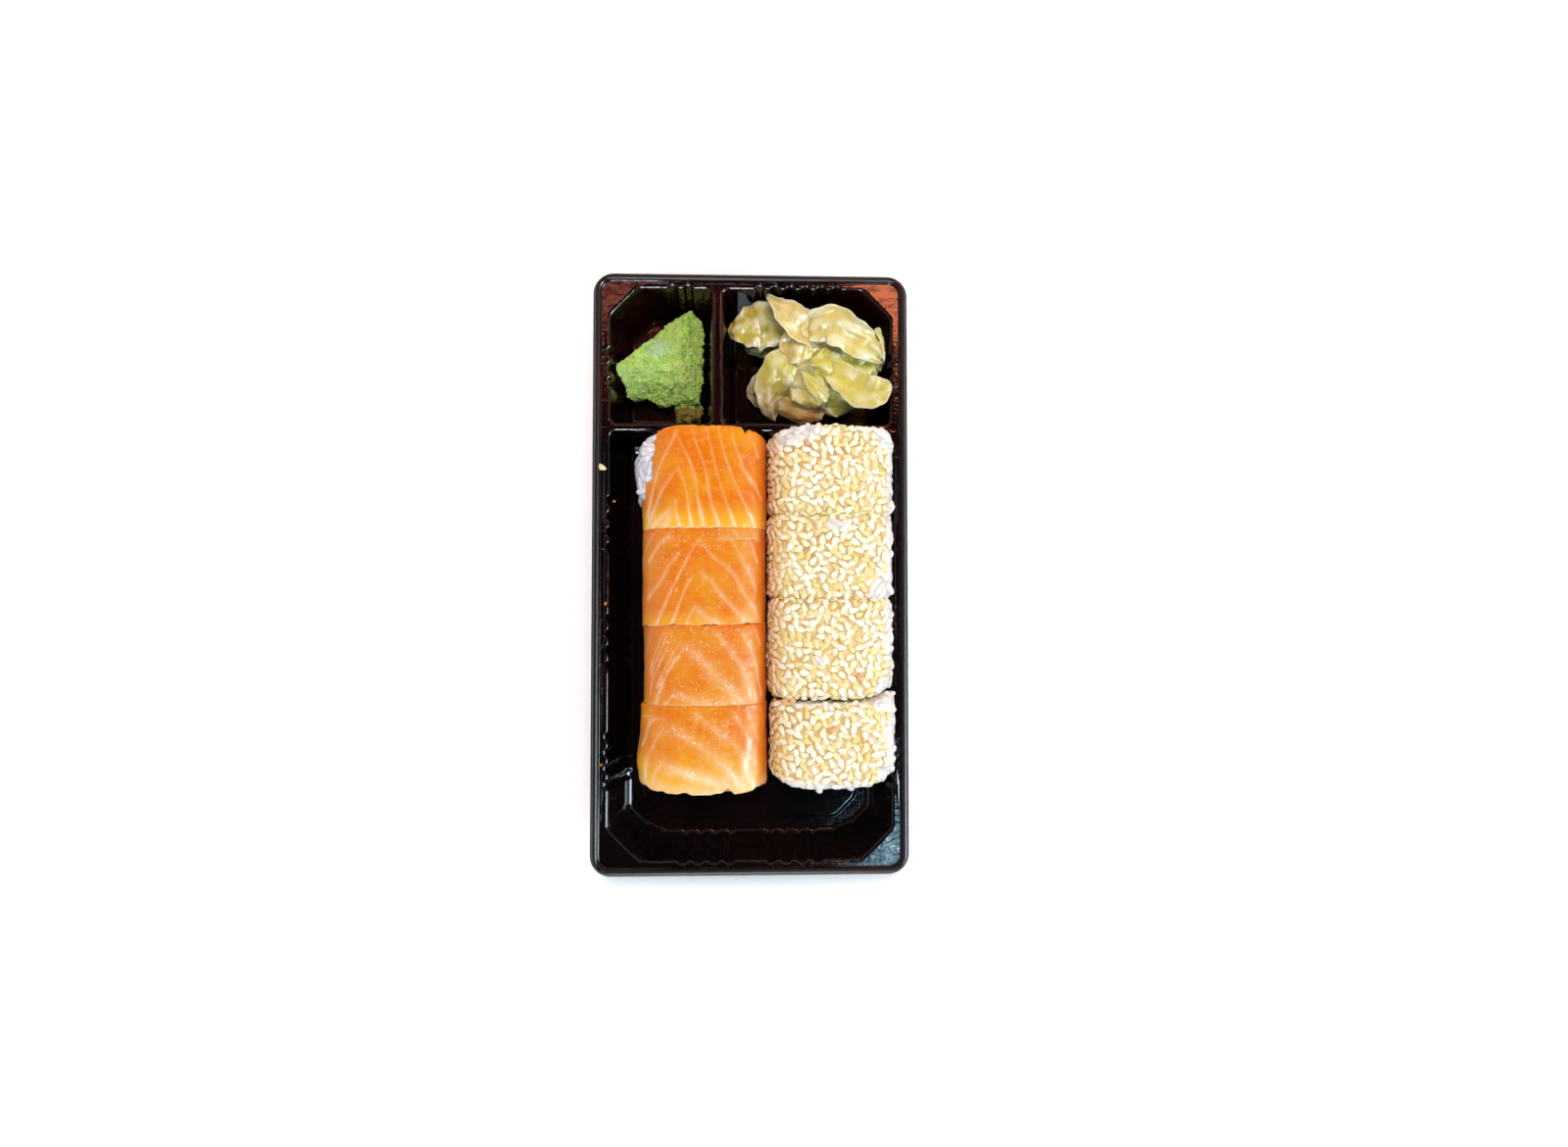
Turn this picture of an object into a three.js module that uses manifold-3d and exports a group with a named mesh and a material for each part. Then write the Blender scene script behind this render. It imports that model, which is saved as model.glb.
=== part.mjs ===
// A takeaway sushi tray in millimetres: +X right, +Y to the back, +Z up.
// The origin is at the centre of the base. A black thermoformed tray has three cells:
// a long one with two rows of rolls, a small one with wasabi and one with sliced ginger.
import * as THREE from 'three';
import Module from 'manifold-3d';

const wasm = await Module();
wasm.setup();

// Tray
const TRAY_WIDTH = 100;
const TRAY_LENGTH = 190;
const BEAD_TOP = 24;
const LAND_TOP = 22.8;
const SKIRT_FOOT = 20.8;
const SHEET = 0.7;
const CORNER_RADIUS = 6.5;
const OUTER_DRAFT = 4.2;
const DIVIDER_DRAFT = 3;
const CHAMFER_DRAFT = 1.4;
const PANEL_RISE = 1;
const PANEL_MARGIN = 5.5;
const FLUTE = { pitch: 4.9, halfWidth: 1.85, halfFlat: 0.85, depth: 0.85 };
const LUG = { reach: 3.8, flat: 2, depth: 1.7 };

// Openings at the land, each with its cut corners, the grooves pressed in its walls as
// [centre, count] and the corners where a stacking lug bulges in
const CELLS = {
  main: {
    left: -44.4, right: 44.4, front: -90, back: 44.5,
    draft: { left: OUTER_DRAFT, right: OUTER_DRAFT, front: OUTER_DRAFT, back: DIVIDER_DRAFT },
    chamfer: { frontLeft: 9.8, frontRight: 9.8 },
    panelCut: 6.3,
    flutes: {
      left: [[15, 4], [-22, 4], [-59, 4]],
      right: [[15, 4], [-22, 4], [-59, 4]],
      front: [[-13.8, 4], [13.8, 4]],
    },
    lugs: ['frontLeft', 'frontRight'],
  },
  wasabi: {
    left: -44.4, right: -12.3, front: 46.9, back: 90,
    draft: { left: OUTER_DRAFT, right: DIVIDER_DRAFT, front: DIVIDER_DRAFT, back: OUTER_DRAFT },
    chamfer: { backLeft: 8.6 },
    panelCut: 3.6,
    flutes: { back: [[-22.4, 2]], left: [[64.8, 3]] },
    lugs: [],
  },
  ginger: {
    left: -8.9, right: 44.4, front: 46.9, back: 90,
    draft: { left: DIVIDER_DRAFT, right: OUTER_DRAFT, front: DIVIDER_DRAFT, back: OUTER_DRAFT },
    chamfer: { backRight: 8.8 },
    panelCut: 4.4,
    flutes: { back: [[15.1, 6]], right: [[64, 3]] },
    lugs: [],
  },
};
const CELL_CORNER_RADIUS = 2;

// Rolls: the row's pieces from the back to the front, where each is cut and how wide it lies
const PANEL_TOP = SHEET + PANEL_RISE;
const CLEARANCE = 0.3;
const ROLL_FOOT = PANEL_TOP + CLEARANCE;
const ROLL_SQUARENESS = 3.2;
const SALMON_THICKNESS = 2.2;
// frontBow and backBow: how far the left and right corners of a cut lie towards the back
const ROW_MIDDLE = { salmon: -14.6, sesame: 25.3 };
const ROW_HALF = 19.7;
const BOW_POWER = 3.5;
const SALMON_ROW = [
  {
    back: 44.9, front: 13.3, left: -34.1, right: 5.1, top: 31.4, backLean: 0.15,
    backBow: [-4.6, -2.2], frontBow: [-0.8, -0.2], bulge: { depth: 1.9, at: 30, half: 11 },
  },
  {
    back: 13.3, front: -16.7, left: -34.3, right: 4.9, top: 31.1, backLean: 0,
    backBow: [-0.8, -0.2], frontBow: [-0.4, 1.1],
  },
  {
    back: -16.7, front: -41.2, left: -33.6, right: 5, top: 31.3, backLean: 0,
    backBow: [-0.4, 1.1], frontBow: [0, 0.6],
  },
  {
    back: -41.2, front: -68.2, left: -34.5, right: 5.2, top: 30.7, backLean: 0,
    backBow: [0, 0.6], frontBow: [3, 2.4], bulge: { depth: 1.1, at: -60, half: 8 },
  },
];
const SESAME_ROW = [
  {
    back: 45.6, front: 17.4, left: 5.6, right: 44.9, top: 31.4, backLean: 0.15,
    backBow: [-2.4, -1.6], frontBow: [0.4, 0.8],
  },
  {
    back: 17.4, front: -8.9, left: 5.5, right: 44.8, top: 31.2, backLean: 0,
    backBow: [0.4, 0.8], frontBow: [0.6, 1],
  },
  {
    back: -8.9, front: -39.2, left: 5.7, right: 44.7, top: 31.4, backLean: 0,
    backBow: [0.6, 1], frontBow: [0.9, 4.4],
  },
  {
    back: -40.6, front: -66.9, left: 6.3, right: 45.6, top: 30.8, backLean: 0,
    backBow: [0.5, 4.4], frontBow: [5.2, 5.2],
  },
];
// How far each salmon slice reaches down the roll, measured over the surface from the top centre
const SALMON_REACH = 38;
const CUT_BACK = { reach: 16.2, length: 16.6, step: 3.4, spacing: 0.15 };
const SEEDS_PER_ROLL = 21;
const SEED = { length: 3.6, width: 1.9, thickness: 1.3 };

// Wasabi: points of its silhouette, each with the height where the paste is widest
const WASABI_SILHOUETTE = [
  [-43.4, 65.2, 18.5], [-40.6, 68.6, 16.2], [-34.3, 74.6, 13.2], [-25, 83, 11], [-20.3, 85.8, 10],
  [-17.2, 84.2, 9.5], [-16, 80, 9], [-15.9, 71.5, 9], [-16.4, 60, 8.5], [-17.6, 56, 7.5],
  [-22, 56.4, 7], [-27.8, 55.6, 7.6], [-33.5, 57.6, 8], [-39, 57.4, 9.5], [-40.8, 61.5, 14],
];
const WASABI_CROWN = 15.5;

// Ginger slices, the lowest first: the spine from the middle of the heap to the tip, the half
// widths along it, the tilt across it in degrees and how far the edges curl up or down
const GINGER_THICKNESS = 1;
const GINGER_SLICES = [
  {
    spine: [[13.5, 74.5, 12.5], [4.7, 75.5, 11], [-1.6, 74.3, 9]],
    half: [3.6, 4.6, 2.6], tilt: -12, curl: 1,
  },
  {
    spine: [[9, 67, 8.5], [2, 61.1, 8], [3.6, 55.8, 5]],
    half: [3.6, 3.4, 2.2], tilt: -15, curl: 0.6,
  },
  {
    spine: [[18.5, 68.5, 17], [10.5, 65.5, 16], [7, 58, 11.5], [8, 51, 6]],
    half: [4.5, 7.4, 5.6, 2.8], tilt: -10, curl: -1.4,
  },
  {
    spine: [[18.5, 61, 12.5], [16.9, 55.5, 10.5], [16.4, 50.2, 6]],
    half: [5.5, 7.6, 6.6], tilt: 4, curl: -1,
  },
  {
    spine: [[24.5, 67, 17], [27.5, 59.5, 14.5], [29, 52, 9]],
    half: [3.4, 6.4, 6.2], tilt: 8, curl: -1.6,
  },
  {
    spine: [[24, 65, 17.5], [19.5, 60.5, 16.5], [14, 56.5, 12.5]],
    half: [4, 5.4, 3.6], tilt: -8, curl: -1.2,
  },
  {
    spine: [[26.5, 69.5, 17], [34, 66.3, 20], [41, 64.8, 18.5]],
    half: [4.2, 5.4, 3.4], tilt: 6, curl: 1,
  },
  {
    spine: [[13, 77, 14], [4, 80, 17], [-2, 79.4, 18], [-7.8, 78.6, 14.5]],
    half: [5, 8.6, 6.6, 3.6], tilt: 8, curl: -1.6,
  },
  {
    spine: [[41, 65.5, 17.5], [42.4, 71.3, 22], [40.1, 78.2, 22]],
    half: [1.7, 2.4, 1], tilt: 62, curl: 0.4,
  },
  {
    spine: [[23, 68.5, 18], [29.8, 61.8, 21.5], [37, 57.2, 23.8], [44.6, 59.2, 24.8]],
    half: [2.8, 4.8, 5.8, 3.9], tilt: 12, curl: 1.2,
  },
  {
    spine: [[23.5, 72, 18.5], [24.6, 67, 19.8], [24.4, 61, 17]],
    half: [3.4, 3.8, 2.6], tilt: 0, curl: -1,
  },
  {
    spine: [[22.5, 71.5, 17.5], [15.8, 72.3, 20], [9.2, 73.2, 17.6]],
    half: [3.4, 5.8, 5.6], tilt: -10, curl: -1,
  },
  {
    spine: [[17.5, 78, 18.5], [25, 78.4, 24.5], [34.5, 73.4, 24], [42.2, 67.6, 20.8]],
    half: [5, 6.2, 5.4, 2.8], tilt: 12, curl: 1.8,
  },
  {
    spine: [[21.8, 73.6, 17.5], [13.4, 80.4, 23.5], [5, 88.2, 21.5]],
    half: [4, 5.6, 1.4], tilt: 16, curl: 1.6,
  },
];
const GINGER_CORE = { centre: [20, 68.5, 9.5], radii: [14, 12, 8.6] };

const COLOURS = {
  tray: ['#17100f', 0.22], rice: ['#e9e2df', 0.55], salmon: ['#ee8a3c', 0.35],
  sesame: ['#efdcae', 0.6], wasabi: ['#9dbb62', 0.8], ginger: ['#dccf94', 0.4],
};

// Solids from closed meshes

function closedGeometry(points, triangles) {
  const at = (i) => new THREE.Vector3(...points[i]);
  const volume = triangles.reduce((sum, [a, b, c]) => sum + at(a).dot(at(b).cross(at(c))), 0);
  const outward = volume < 0 ? triangles.map(([a, b, c]) => [a, c, b]) : triangles;
  const geometry = new THREE.BufferGeometry();
  geometry.setAttribute('position', new THREE.Float32BufferAttribute(points.flat(), 3));
  geometry.setIndex(outward.flat());
  return geometry;
}

function solidOf(geometry) {
  return new wasm.Manifold(new wasm.Mesh({
    numProp: 3,
    vertProperties: new Float32Array(geometry.attributes.position.array),
    triVerts: new Uint32Array(geometry.index.array),
  }));
}

function geometryOf(solid) {
  const mesh = solid.getMesh();
  const geometry = new THREE.BufferGeometry();
  geometry.setAttribute('position', new THREE.Float32BufferAttribute(mesh.vertProperties, 3));
  geometry.setIndex(new THREE.Uint32BufferAttribute(mesh.triVerts, 1));
  return geometry;
}

// The outer shell of a fused heap: hollows sealed by the fusing are filled, loose scraps go
function outerShell(solid) {
  const { vertProperties, triVerts } = solid.getMesh();
  const parent = Array.from({ length: vertProperties.length / 3 }, (_, i) => i);
  const root = (i) => {
    let at = i;
    while (parent[at] !== at) at = parent[at];
    parent[i] = at;
    return at;
  };
  for (let i = 0; i < triVerts.length; i += 3) {
    parent[root(triVerts[i + 1])] = root(triVerts[i]);
    parent[root(triVerts[i + 2])] = root(triVerts[i]);
  }
  const shells = new Map();
  for (let i = 0; i < triVerts.length; i += 3) {
    const key = root(triVerts[i]);
    shells.set(key, [...(shells.get(key) || []), Array.from(triVerts.slice(i, i + 3))]);
  }
  const [largest] = [...shells.values()].sort((a, b) => b.length - a.length);
  const used = [...new Set(largest.flat())];
  const points = used.map((id) => Array.from(vertProperties.slice(id * 3, id * 3 + 3)));
  const place = new Map(used.map((id, i) => [id, i]));
  return closedGeometry(points, largest.map((corners) => corners.map((id) => place.get(id))));
}

// A skin over loops with equally many points, closed by a fan at each end
function loft(loops) {
  const count = loops[0].length;
  const points = loops.flat();
  const triangles = [];
  for (let k = 0; k + 1 < loops.length; k++) {
    for (let i = 0; i < count; i++) {
      const a = k * count + i;
      const b = k * count + (i + 1) % count;
      triangles.push([a, b, b + count], [a, b + count, a + count]);
    }
  }
  [0, loops.length - 1].forEach((k) => {
    const start = k * count;
    const centre = points.length;
    points.push([0, 1, 2].map((n) => loops[k].reduce((sum, point) => sum + point[n], 0) / count));
    for (let i = 0; i < count; i++) {
      const next = start + (i + 1) % count;
      triangles.push(k === 0 ? [start + i, centre, next] : [start + i, next, centre]);
    }
  });
  return closedGeometry(points, triangles);
}

// A thin solid between two grids of points, top[i][j] and bottom[i][j]
function sheetSolid(top, bottom) {
  const rows = top.length;
  const columns = top[0].length;
  const id = (layer, i, j) => layer * rows * columns + i * columns + j;
  const triangles = [];
  for (let i = 0; i + 1 < rows; i++) {
    for (let j = 0; j + 1 < columns; j++) {
      triangles.push([id(0, i, j), id(0, i + 1, j), id(0, i + 1, j + 1)]);
      triangles.push([id(0, i, j), id(0, i + 1, j + 1), id(0, i, j + 1)]);
      triangles.push([id(1, i, j), id(1, i + 1, j + 1), id(1, i + 1, j)]);
      triangles.push([id(1, i, j), id(1, i, j + 1), id(1, i + 1, j + 1)]);
    }
  }
  const edge = [];
  for (let j = 0; j + 1 < columns; j++) edge.push([0, j]);
  for (let i = 0; i + 1 < rows; i++) edge.push([i, columns - 1]);
  for (let j = columns - 1; j > 0; j--) edge.push([rows - 1, j]);
  for (let i = rows - 1; i > 0; i--) edge.push([i, 0]);
  edge.forEach(([i, j], k) => {
    const [m, n] = edge[(k + 1) % edge.length];
    triangles.push([id(0, i, j), id(0, m, n), id(1, m, n)], [id(0, i, j), id(1, m, n), id(1, i, j)]);
  });
  return closedGeometry([...top.flat(), ...bottom.flat()], triangles);
}

const mix = (a, b, t) => a + (b - a) * t;
const clamp = (value, low, high) => Math.min(high, Math.max(low, value));
const smooth = (low, high, value) => {
  const t = clamp((value - low) / (high - low), 0, 1);
  return t * t * (3 - 2 * t);
};

// A list of values read as a line from its first at 0 to its last at 1
function valueAt(values, t) {
  const place = t * (values.length - 1);
  const k = Math.min(values.length - 2, Math.floor(place));
  return mix(values[k], values[k + 1], place - k);
}

function seededRandom(seed) {
  let state = seed;
  return () => {
    state = (state * 1664525 + 1013904223) % 4294967296;
    return state / 4294967296;
  };
}

// Tray

// How far a cell's wall has come in at a height, as a share of its draft
function wallShare(z) {
  return clamp((LAND_TOP - z) / (LAND_TOP - SHEET), 0, 1);
}

// The inner wall of a cell at a height, moved in by a margin
function cellWalls(cell, z, margin) {
  const share = wallShare(z);
  return {
    left: cell.left + cell.draft.left * share + margin,
    right: cell.right - cell.draft.right * share - margin,
    front: cell.front + cell.draft.front * share + margin,
    back: cell.back - cell.draft.back * share - margin,
  };
}

// Grooves in a side: [place along it, outward depth], in rising order
function grooves(cell, side, share) {
  return (cell.flutes[side] || []).flatMap(([centre, count]) => (
    Array.from({ length: count }, (_, k) => centre + (k - (count - 1) / 2) * FLUTE.pitch).flatMap((at) => [
      [at - FLUTE.halfWidth, 0], [at - FLUTE.halfFlat, share * FLUTE.depth],
      [at + FLUTE.halfFlat, share * FLUTE.depth], [at + FLUTE.halfWidth, 0],
    ]))).sort((a, b) => a[0] - b[0]);
}

// A corner of a box, counter-clockwise: cut off at 45 degrees, or round
function cornerPoints(x, y, quadrant, cut, radius) {
  const [sx, sy] = [[-1, -1], [1, -1], [1, 1], [-1, 1]][quadrant];
  if (cut) {
    const along = [x - sx * cut, y];
    const up = [x, y - sy * cut];
    return quadrant % 2 ? [along, up] : [up, along];
  }
  const steps = Math.max(2, Math.round(radius * 0.8));
  return Array.from({ length: steps + 1 }, (_, k) => {
    const angle = Math.PI * (1 + quadrant / 2 + k / steps / 2);
    return [x - sx * radius + radius * Math.cos(angle), y - sy * radius + radius * Math.sin(angle)];
  });
}

// A front corner cut off, with a lug that bulges in where the cut meets the front
function luggedCorner(x, y, quadrant, cut, share) {
  const sx = quadrant ? 1 : -1;
  const middle = [x - sx * cut, y];
  const place = (front, chamfer, depth) => [
    middle[0] - sx * front + sx * chamfer * Math.SQRT1_2 - sx * depth * Math.sin(Math.PI / 8),
    middle[1] + chamfer * Math.SQRT1_2 + depth * Math.cos(Math.PI / 8),
  ];
  const depth = share * LUG.depth;
  const points = [place(LUG.reach, 0, 0), place(LUG.flat, 0, depth), place(0, LUG.flat, depth),
    place(0, LUG.reach, 0), [x, y + cut]];
  return quadrant ? points : points.reverse();
}

// The outline of a cell at one level. share is the part of the draft, out the way outwards
function cellLoop(cell, { z, share, out = 0, groove = 1, lug = 1 }) {
  const left = cell.left + cell.draft.left * share - out;
  const right = cell.right - cell.draft.right * share + out;
  const front = cell.front + cell.draft.front * share - out;
  const back = cell.back - cell.draft.back * share + out;
  const corner = (x, y, quadrant, name) => {
    const opening = cell.chamfer[name];
    const cut = opening && opening - CHAMFER_DRAFT * share + (2 - Math.SQRT2) * out;
    if (cell.lugs.includes(name)) return luggedCorner(x, y, quadrant, cut, lug);
    return cornerPoints(x, y, quadrant, cut, CELL_CORNER_RADIUS + out);
  };
  return [
    ...corner(left, front, 0, 'frontLeft'),
    ...grooves(cell, 'front', groove).map(([at, depth]) => [at, front - depth]),
    ...corner(right, front, 1, 'frontRight'),
    ...grooves(cell, 'right', groove).map(([at, depth]) => [right + depth, at]),
    ...corner(right, back, 2, 'backRight'),
    ...grooves(cell, 'back', groove).reverse().map(([at, depth]) => [at, back + depth]),
    ...corner(left, back, 3, 'backLeft'),
    ...grooves(cell, 'left', groove).reverse().map(([at, depth]) => [left - depth, at]),
  ].map(([x, y]) => [x, y, z]);
}

function cellHollow(cell) {
  return loft([
    { z: SHEET, share: 1.02, groove: 0.3, lug: 0.7 },
    { z: SHEET + 1.3, share: 0.93 },
    { z: LAND_TOP, share: 0, lug: 0.1 },
    { z: BEAD_TOP + 2, share: 0, lug: 0.1 },
  ].map((level) => cellLoop(cell, level)));
}

function cellCup(cell) {
  return loft([
    { z: 0, share: 1.02, out: 0.45, groove: 0.3, lug: 0.7 },
    { z: 1.3, share: 0.95, out: SHEET },
    { z: LAND_TOP - SHEET, share: 0, out: SHEET, lug: 0.1 },
    { z: LAND_TOP - SHEET / 2, share: 0, out: SHEET, lug: 0.1 },
  ].map((level) => cellLoop(cell, level)));
}

// An eight-sided outline inside a cell's foot, for the raised floor panel
function panelLoop(cell, margin, z) {
  const { left, right, front, back } = cellWalls(cell, SHEET, margin);
  const cut = cell.panelCut - 0.6 * (margin - PANEL_MARGIN);
  return [
    ...cornerPoints(left, front, 0, cut), ...cornerPoints(right, front, 1, cut),
    ...cornerPoints(right, back, 2, cut), ...cornerPoints(left, back, 3, cut),
  ].map(([x, y]) => [x, y, z]);
}

function rimLoop([inset, z]) {
  const x = TRAY_WIDTH / 2 - inset;
  const y = TRAY_LENGTH / 2 - inset;
  const steps = 4;
  const radius = CORNER_RADIUS - inset;
  return [[-1, -1], [1, -1], [1, 1], [-1, 1]].flatMap(([sx, sy], quadrant) => (
    Array.from({ length: steps + 1 }, (_, k) => {
      const angle = Math.PI * (1 + quadrant / 2 + k / steps / 2);
      return [
        sx * (x - radius) + radius * Math.cos(angle),
        sy * (y - radius) + radius * Math.sin(angle), z,
      ];
    })));
}

function makeTray() {
  const bead = [[0, SKIRT_FOOT], [0, 21.4], [0.5, 21.6], [0.8, 23.3], [1.3, BEAD_TOP], [2, BEAD_TOP],
    [2.6, 23.4], [2.9, LAND_TOP]];
  const beadUnder = [[1, SKIRT_FOOT - 2], [1, SKIRT_FOOT], [1.5, 22.9], [1.8, 23.3], [2, 23.3],
    [2.9, LAND_TOP - SHEET], [3.3, LAND_TOP - SHEET]];
  let tray = solidOf(loft(bead.map(rimLoop))).subtract(solidOf(loft(beadUnder.map(rimLoop))));
  const cells = Object.values(CELLS);
  cells.forEach((cell) => { tray = tray.add(solidOf(cellCup(cell))); });
  cells.forEach((cell) => {
    const panel = loft([
      panelLoop(cell, PANEL_MARGIN - 0.5, SHEET / 2), panelLoop(cell, PANEL_MARGIN, PANEL_TOP),
    ]);
    const recess = loft([
      panelLoop(cell, PANEL_MARGIN + 0.3, -1), panelLoop(cell, PANEL_MARGIN + 0.8, PANEL_RISE),
    ]);
    tray = tray.subtract(solidOf(cellHollow(cell))).add(solidOf(panel)).subtract(solidOf(recess));
  });
  return tray;
}

// Rolls

// Half-round squares lean on the tray's wall: x on the left and right of a piece at a height
function rollSides(piece, z) {
  const narrowing = (1 - clamp(z / LAND_TOP, 0, 1)) ** 2;
  const wall = cellWalls(CELLS.main, z, 0.5 + SHEET / 2).right;
  const overLand = smooth(LAND_TOP - 0.2, LAND_TOP + 1.8, z);
  const againstWall = mix(wall - 0.4 * narrowing, piece.right, overLand);
  return {
    left: piece.left + 2.2 * narrowing,
    right: piece.right > 20 ? againstWall : piece.right - 2 * narrowing,
  };
}

// A table of the piece's cross-section by the distance over it, clockwise from the top centre
function rollSection(piece) {
  const steps = 720;
  const middle = (piece.left + piece.right) / 2;
  const halfHeight = (piece.top - ROLL_FOOT) / 2;
  const power = (value) => Math.sign(value) * Math.abs(value) ** (2 / ROLL_SQUARENESS);
  const points = Array.from({ length: steps + 1 }, (_, i) => {
    const turn = (i / steps) * 2 * Math.PI;
    const z = ROLL_FOOT + halfHeight * (1 + power(Math.cos(turn)));
    const u = power(Math.sin(turn));
    const { left, right } = rollSides(piece, z);
    return [middle + (u < 0 ? u * (middle - left) : u * (right - middle)), z];
  });
  const lengths = [0];
  for (let i = 1; i <= steps; i++) {
    const step = Math.hypot(points[i][0] - points[i - 1][0], points[i][1] - points[i - 1][1]);
    lengths.push(lengths[i - 1] + step);
  }
  return { points, lengths, girth: lengths[steps] };
}

// The place on a section at a distance over it, sunk in by a depth
function onSection({ points, lengths, girth }, distance, depth = 0) {
  const wanted = ((distance % girth) + girth) % girth;
  const find = (value) => {
    const target = ((value % girth) + girth) % girth;
    let i = lengths.findIndex((length) => length > target);
    if (i < 1) i = lengths.length - 1;
    const t = (target - lengths[i - 1]) / (lengths[i] - lengths[i - 1]);
    return [mix(points[i - 1][0], points[i][0], t), mix(points[i - 1][1], points[i][1], t)];
  };
  const [x, z] = find(wanted);
  const [xa, za] = find(wanted - 1);
  const [xb, zb] = find(wanted + 1);
  const length = Math.hypot(xb - xa, zb - za);
  const normal = [-(zb - za) / length, (xb - xa) / length];
  return { x: x - normal[0] * depth, z: z - normal[1] * depth, normal };
}

// A place in a piece once its cuts are bowed, its back face leans and its left side bulges
function shapedPlace(piece, x, y, z) {
  const middle = piece.right > 20 ? ROW_MIDDLE.sesame : ROW_MIDDLE.salmon;
  const across = clamp((x - middle) / ROW_HALF, -1, 1);
  const corner = across < 0 ? 0 : 1;
  const bow = Math.abs(across) ** BOW_POWER;
  const share = (y - piece.front) / (piece.back - piece.front);
  const atFront = piece.frontBow[corner] * bow * (1 - share) ** 2;
  const atBack = piece.backBow[corner] * bow * share ** 2;
  const lean = piece.backLean * (piece.top - z) * share ** 3;
  const { depth, at, half } = piece.bulge || { depth: 0, at: 0, half: 1 };
  const bulge = depth * Math.exp(-(((y - at) / half) ** 2)) * Math.max(0, -across);
  return [x - bulge, y + atFront + atBack - lean, z];
}

// Rice lofted along Y. depthAt(distance, y) is how far the rice lies under the section
function riceSolid(piece, sides, ends, inner, depthAt) {
  const section = rollSection(piece);
  const front = piece.front + CLEARANCE / 2;
  const back = piece.back - CLEARANCE / 2;
  const stations = [
    ...ends.map(([along, inset]) => [front + along, inset]),
    ...inner.map((share) => [mix(front, back, share), 0]),
    ...ends.map(([along, inset]) => [back - along, inset]).reverse(),
  ];
  return loft(stations.map(([y, inset]) => Array.from({ length: sides }, (_, i) => {
    const distance = (i / sides) * section.girth;
    const { x, z } = onSection(section, distance, depthAt(distance, y, section) + inset);
    return shapedPlace(piece, x, y, z);
  })));
}

// How far a salmon slice reaches to the left and right of the top centre at a place along it
function salmonReach(piece, index, y) {
  if (index > 0) return { left: SALMON_REACH, right: SALMON_REACH };
  const step = piece.back - CUT_BACK.length;
  const cut = smooth(step - CUT_BACK.step / 2, step + CUT_BACK.step / 2, y);
  return { left: mix(SALMON_REACH, CUT_BACK.reach, cut), right: SALMON_REACH };
}

function salmonRice(piece, index) {
  const inner = index > 0 ? [0.5] : [0.3, 0.47, 0.6, 0.7, 0.82];
  return riceSolid(piece, 22, [[0, 1.8], [1.4, 0.2]], inner, (distance, y, section) => {
    const signed = distance > section.girth / 2 ? distance - section.girth : distance;
    const { left, right } = salmonReach(piece, index, y - CUT_BACK.step);
    const covered = smooth(-left - 9, -left - 5, signed) * (1 - smooth(right + 5, right + 9, signed));
    return mix(0.7, SALMON_THICKNESS + (index > 0 ? 3 : 4) * CLEARANCE, covered);
  });
}

function salmonSlice(piece, index) {
  const section = rollSection(piece);
  const across = 14;
  const rows = index > 0 ? [0, 0.2, 0.4, 0.6, 0.8, 1] : [0, 0.2, 0.4, 0.44, 0.47, 0.5, 0.54, 0.7, 0.85, 1];
  const layer = (under) => Array.from({ length: across + 1 }, (_, i) => (
    rows.map((row) => {
      const wave = 0.35 * Math.sin(i * 1.7 + index * 2);
      const front = piece.front + CLEARANCE / 2 + Math.max(0, wave);
      const y = mix(front, piece.back - CLEARANCE / 2 - Math.max(0, -wave), row);
      const { left, right } = salmonReach(piece, index, y);
      const share = i / across;
      const edge = Math.min(smooth(0, 0.12, share), smooth(0, 0.12, 1 - share));
      const endSlope = (row === 0 || row === 1) ? 0.5 : 0;
      const depth = under ? SALMON_THICKNESS - 0.7 * (1 - edge) : 0.5 * (1 - edge) + endSlope;
      const distance = Math.max(mix(-SALMON_REACH, right, share), CUT_BACK.spacing * i - left);
      const { x, z } = onSection(section, distance, depth);
      return shapedPlace(piece, x, y, z);
    })));
  return sheetSolid(layer(false), layer(true));
}

// Flat drop-shaped seeds lie on the rice, spread evenly and thinner towards the right
function sesameRoll(piece, index) {
  const section = rollSection(piece);
  const random = seededRandom(40 + index);
  let roll = solidOf(riceSolid(piece, 22, [[0, 1.9], [0.7, 0.6], [2.4, 0]], [0.5], () => 0));
  for (let k = 0; k < SEEDS_PER_ROLL; k++) {
    const distance = mix(-22.5, 17.5, (0.5 + k * 0.7548776662) % 1) + random() - 0.5;
    const y = mix(piece.front + 3, piece.back - 3, (0.5 + k * 0.569840291) % 1) + random() - 0.5;
    const { x, z, normal } = onSection(section, distance, -0.1);
    const seed = new THREE.IcosahedronGeometry(1, 0);
    seed.scale(SEED.width / 2, SEED.length / 2, SEED.thickness / 2);
    seed.rotateZ(random() * Math.PI);
    seed.rotateY(Math.atan2(normal[0], normal[1]));
    seed.translate(...shapedPlace(piece, x, y, z));
    roll = roll.add(solidOf(indexed(seed)));
  }
  return roll;
}

// Shared vertices of a loose-triangle geometry become one
function indexed(geometry) {
  const { array } = geometry.attributes.position;
  const points = [];
  const known = new Map();
  const index = [];
  for (let i = 0; i < array.length; i += 3) {
    const point = [array[i], array[i + 1], array[i + 2]];
    const key = point.map((value) => Math.round(value * 1e4)).join();
    if (!known.has(key)) {
      known.set(key, points.length);
      points.push(point);
    }
    index.push(known.get(key));
  }
  const triangles = [];
  for (let i = 0; i < index.length; i += 3) triangles.push(index.slice(i, i + 3));
  return closedGeometry(points, triangles);
}

// Wasabi

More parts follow.
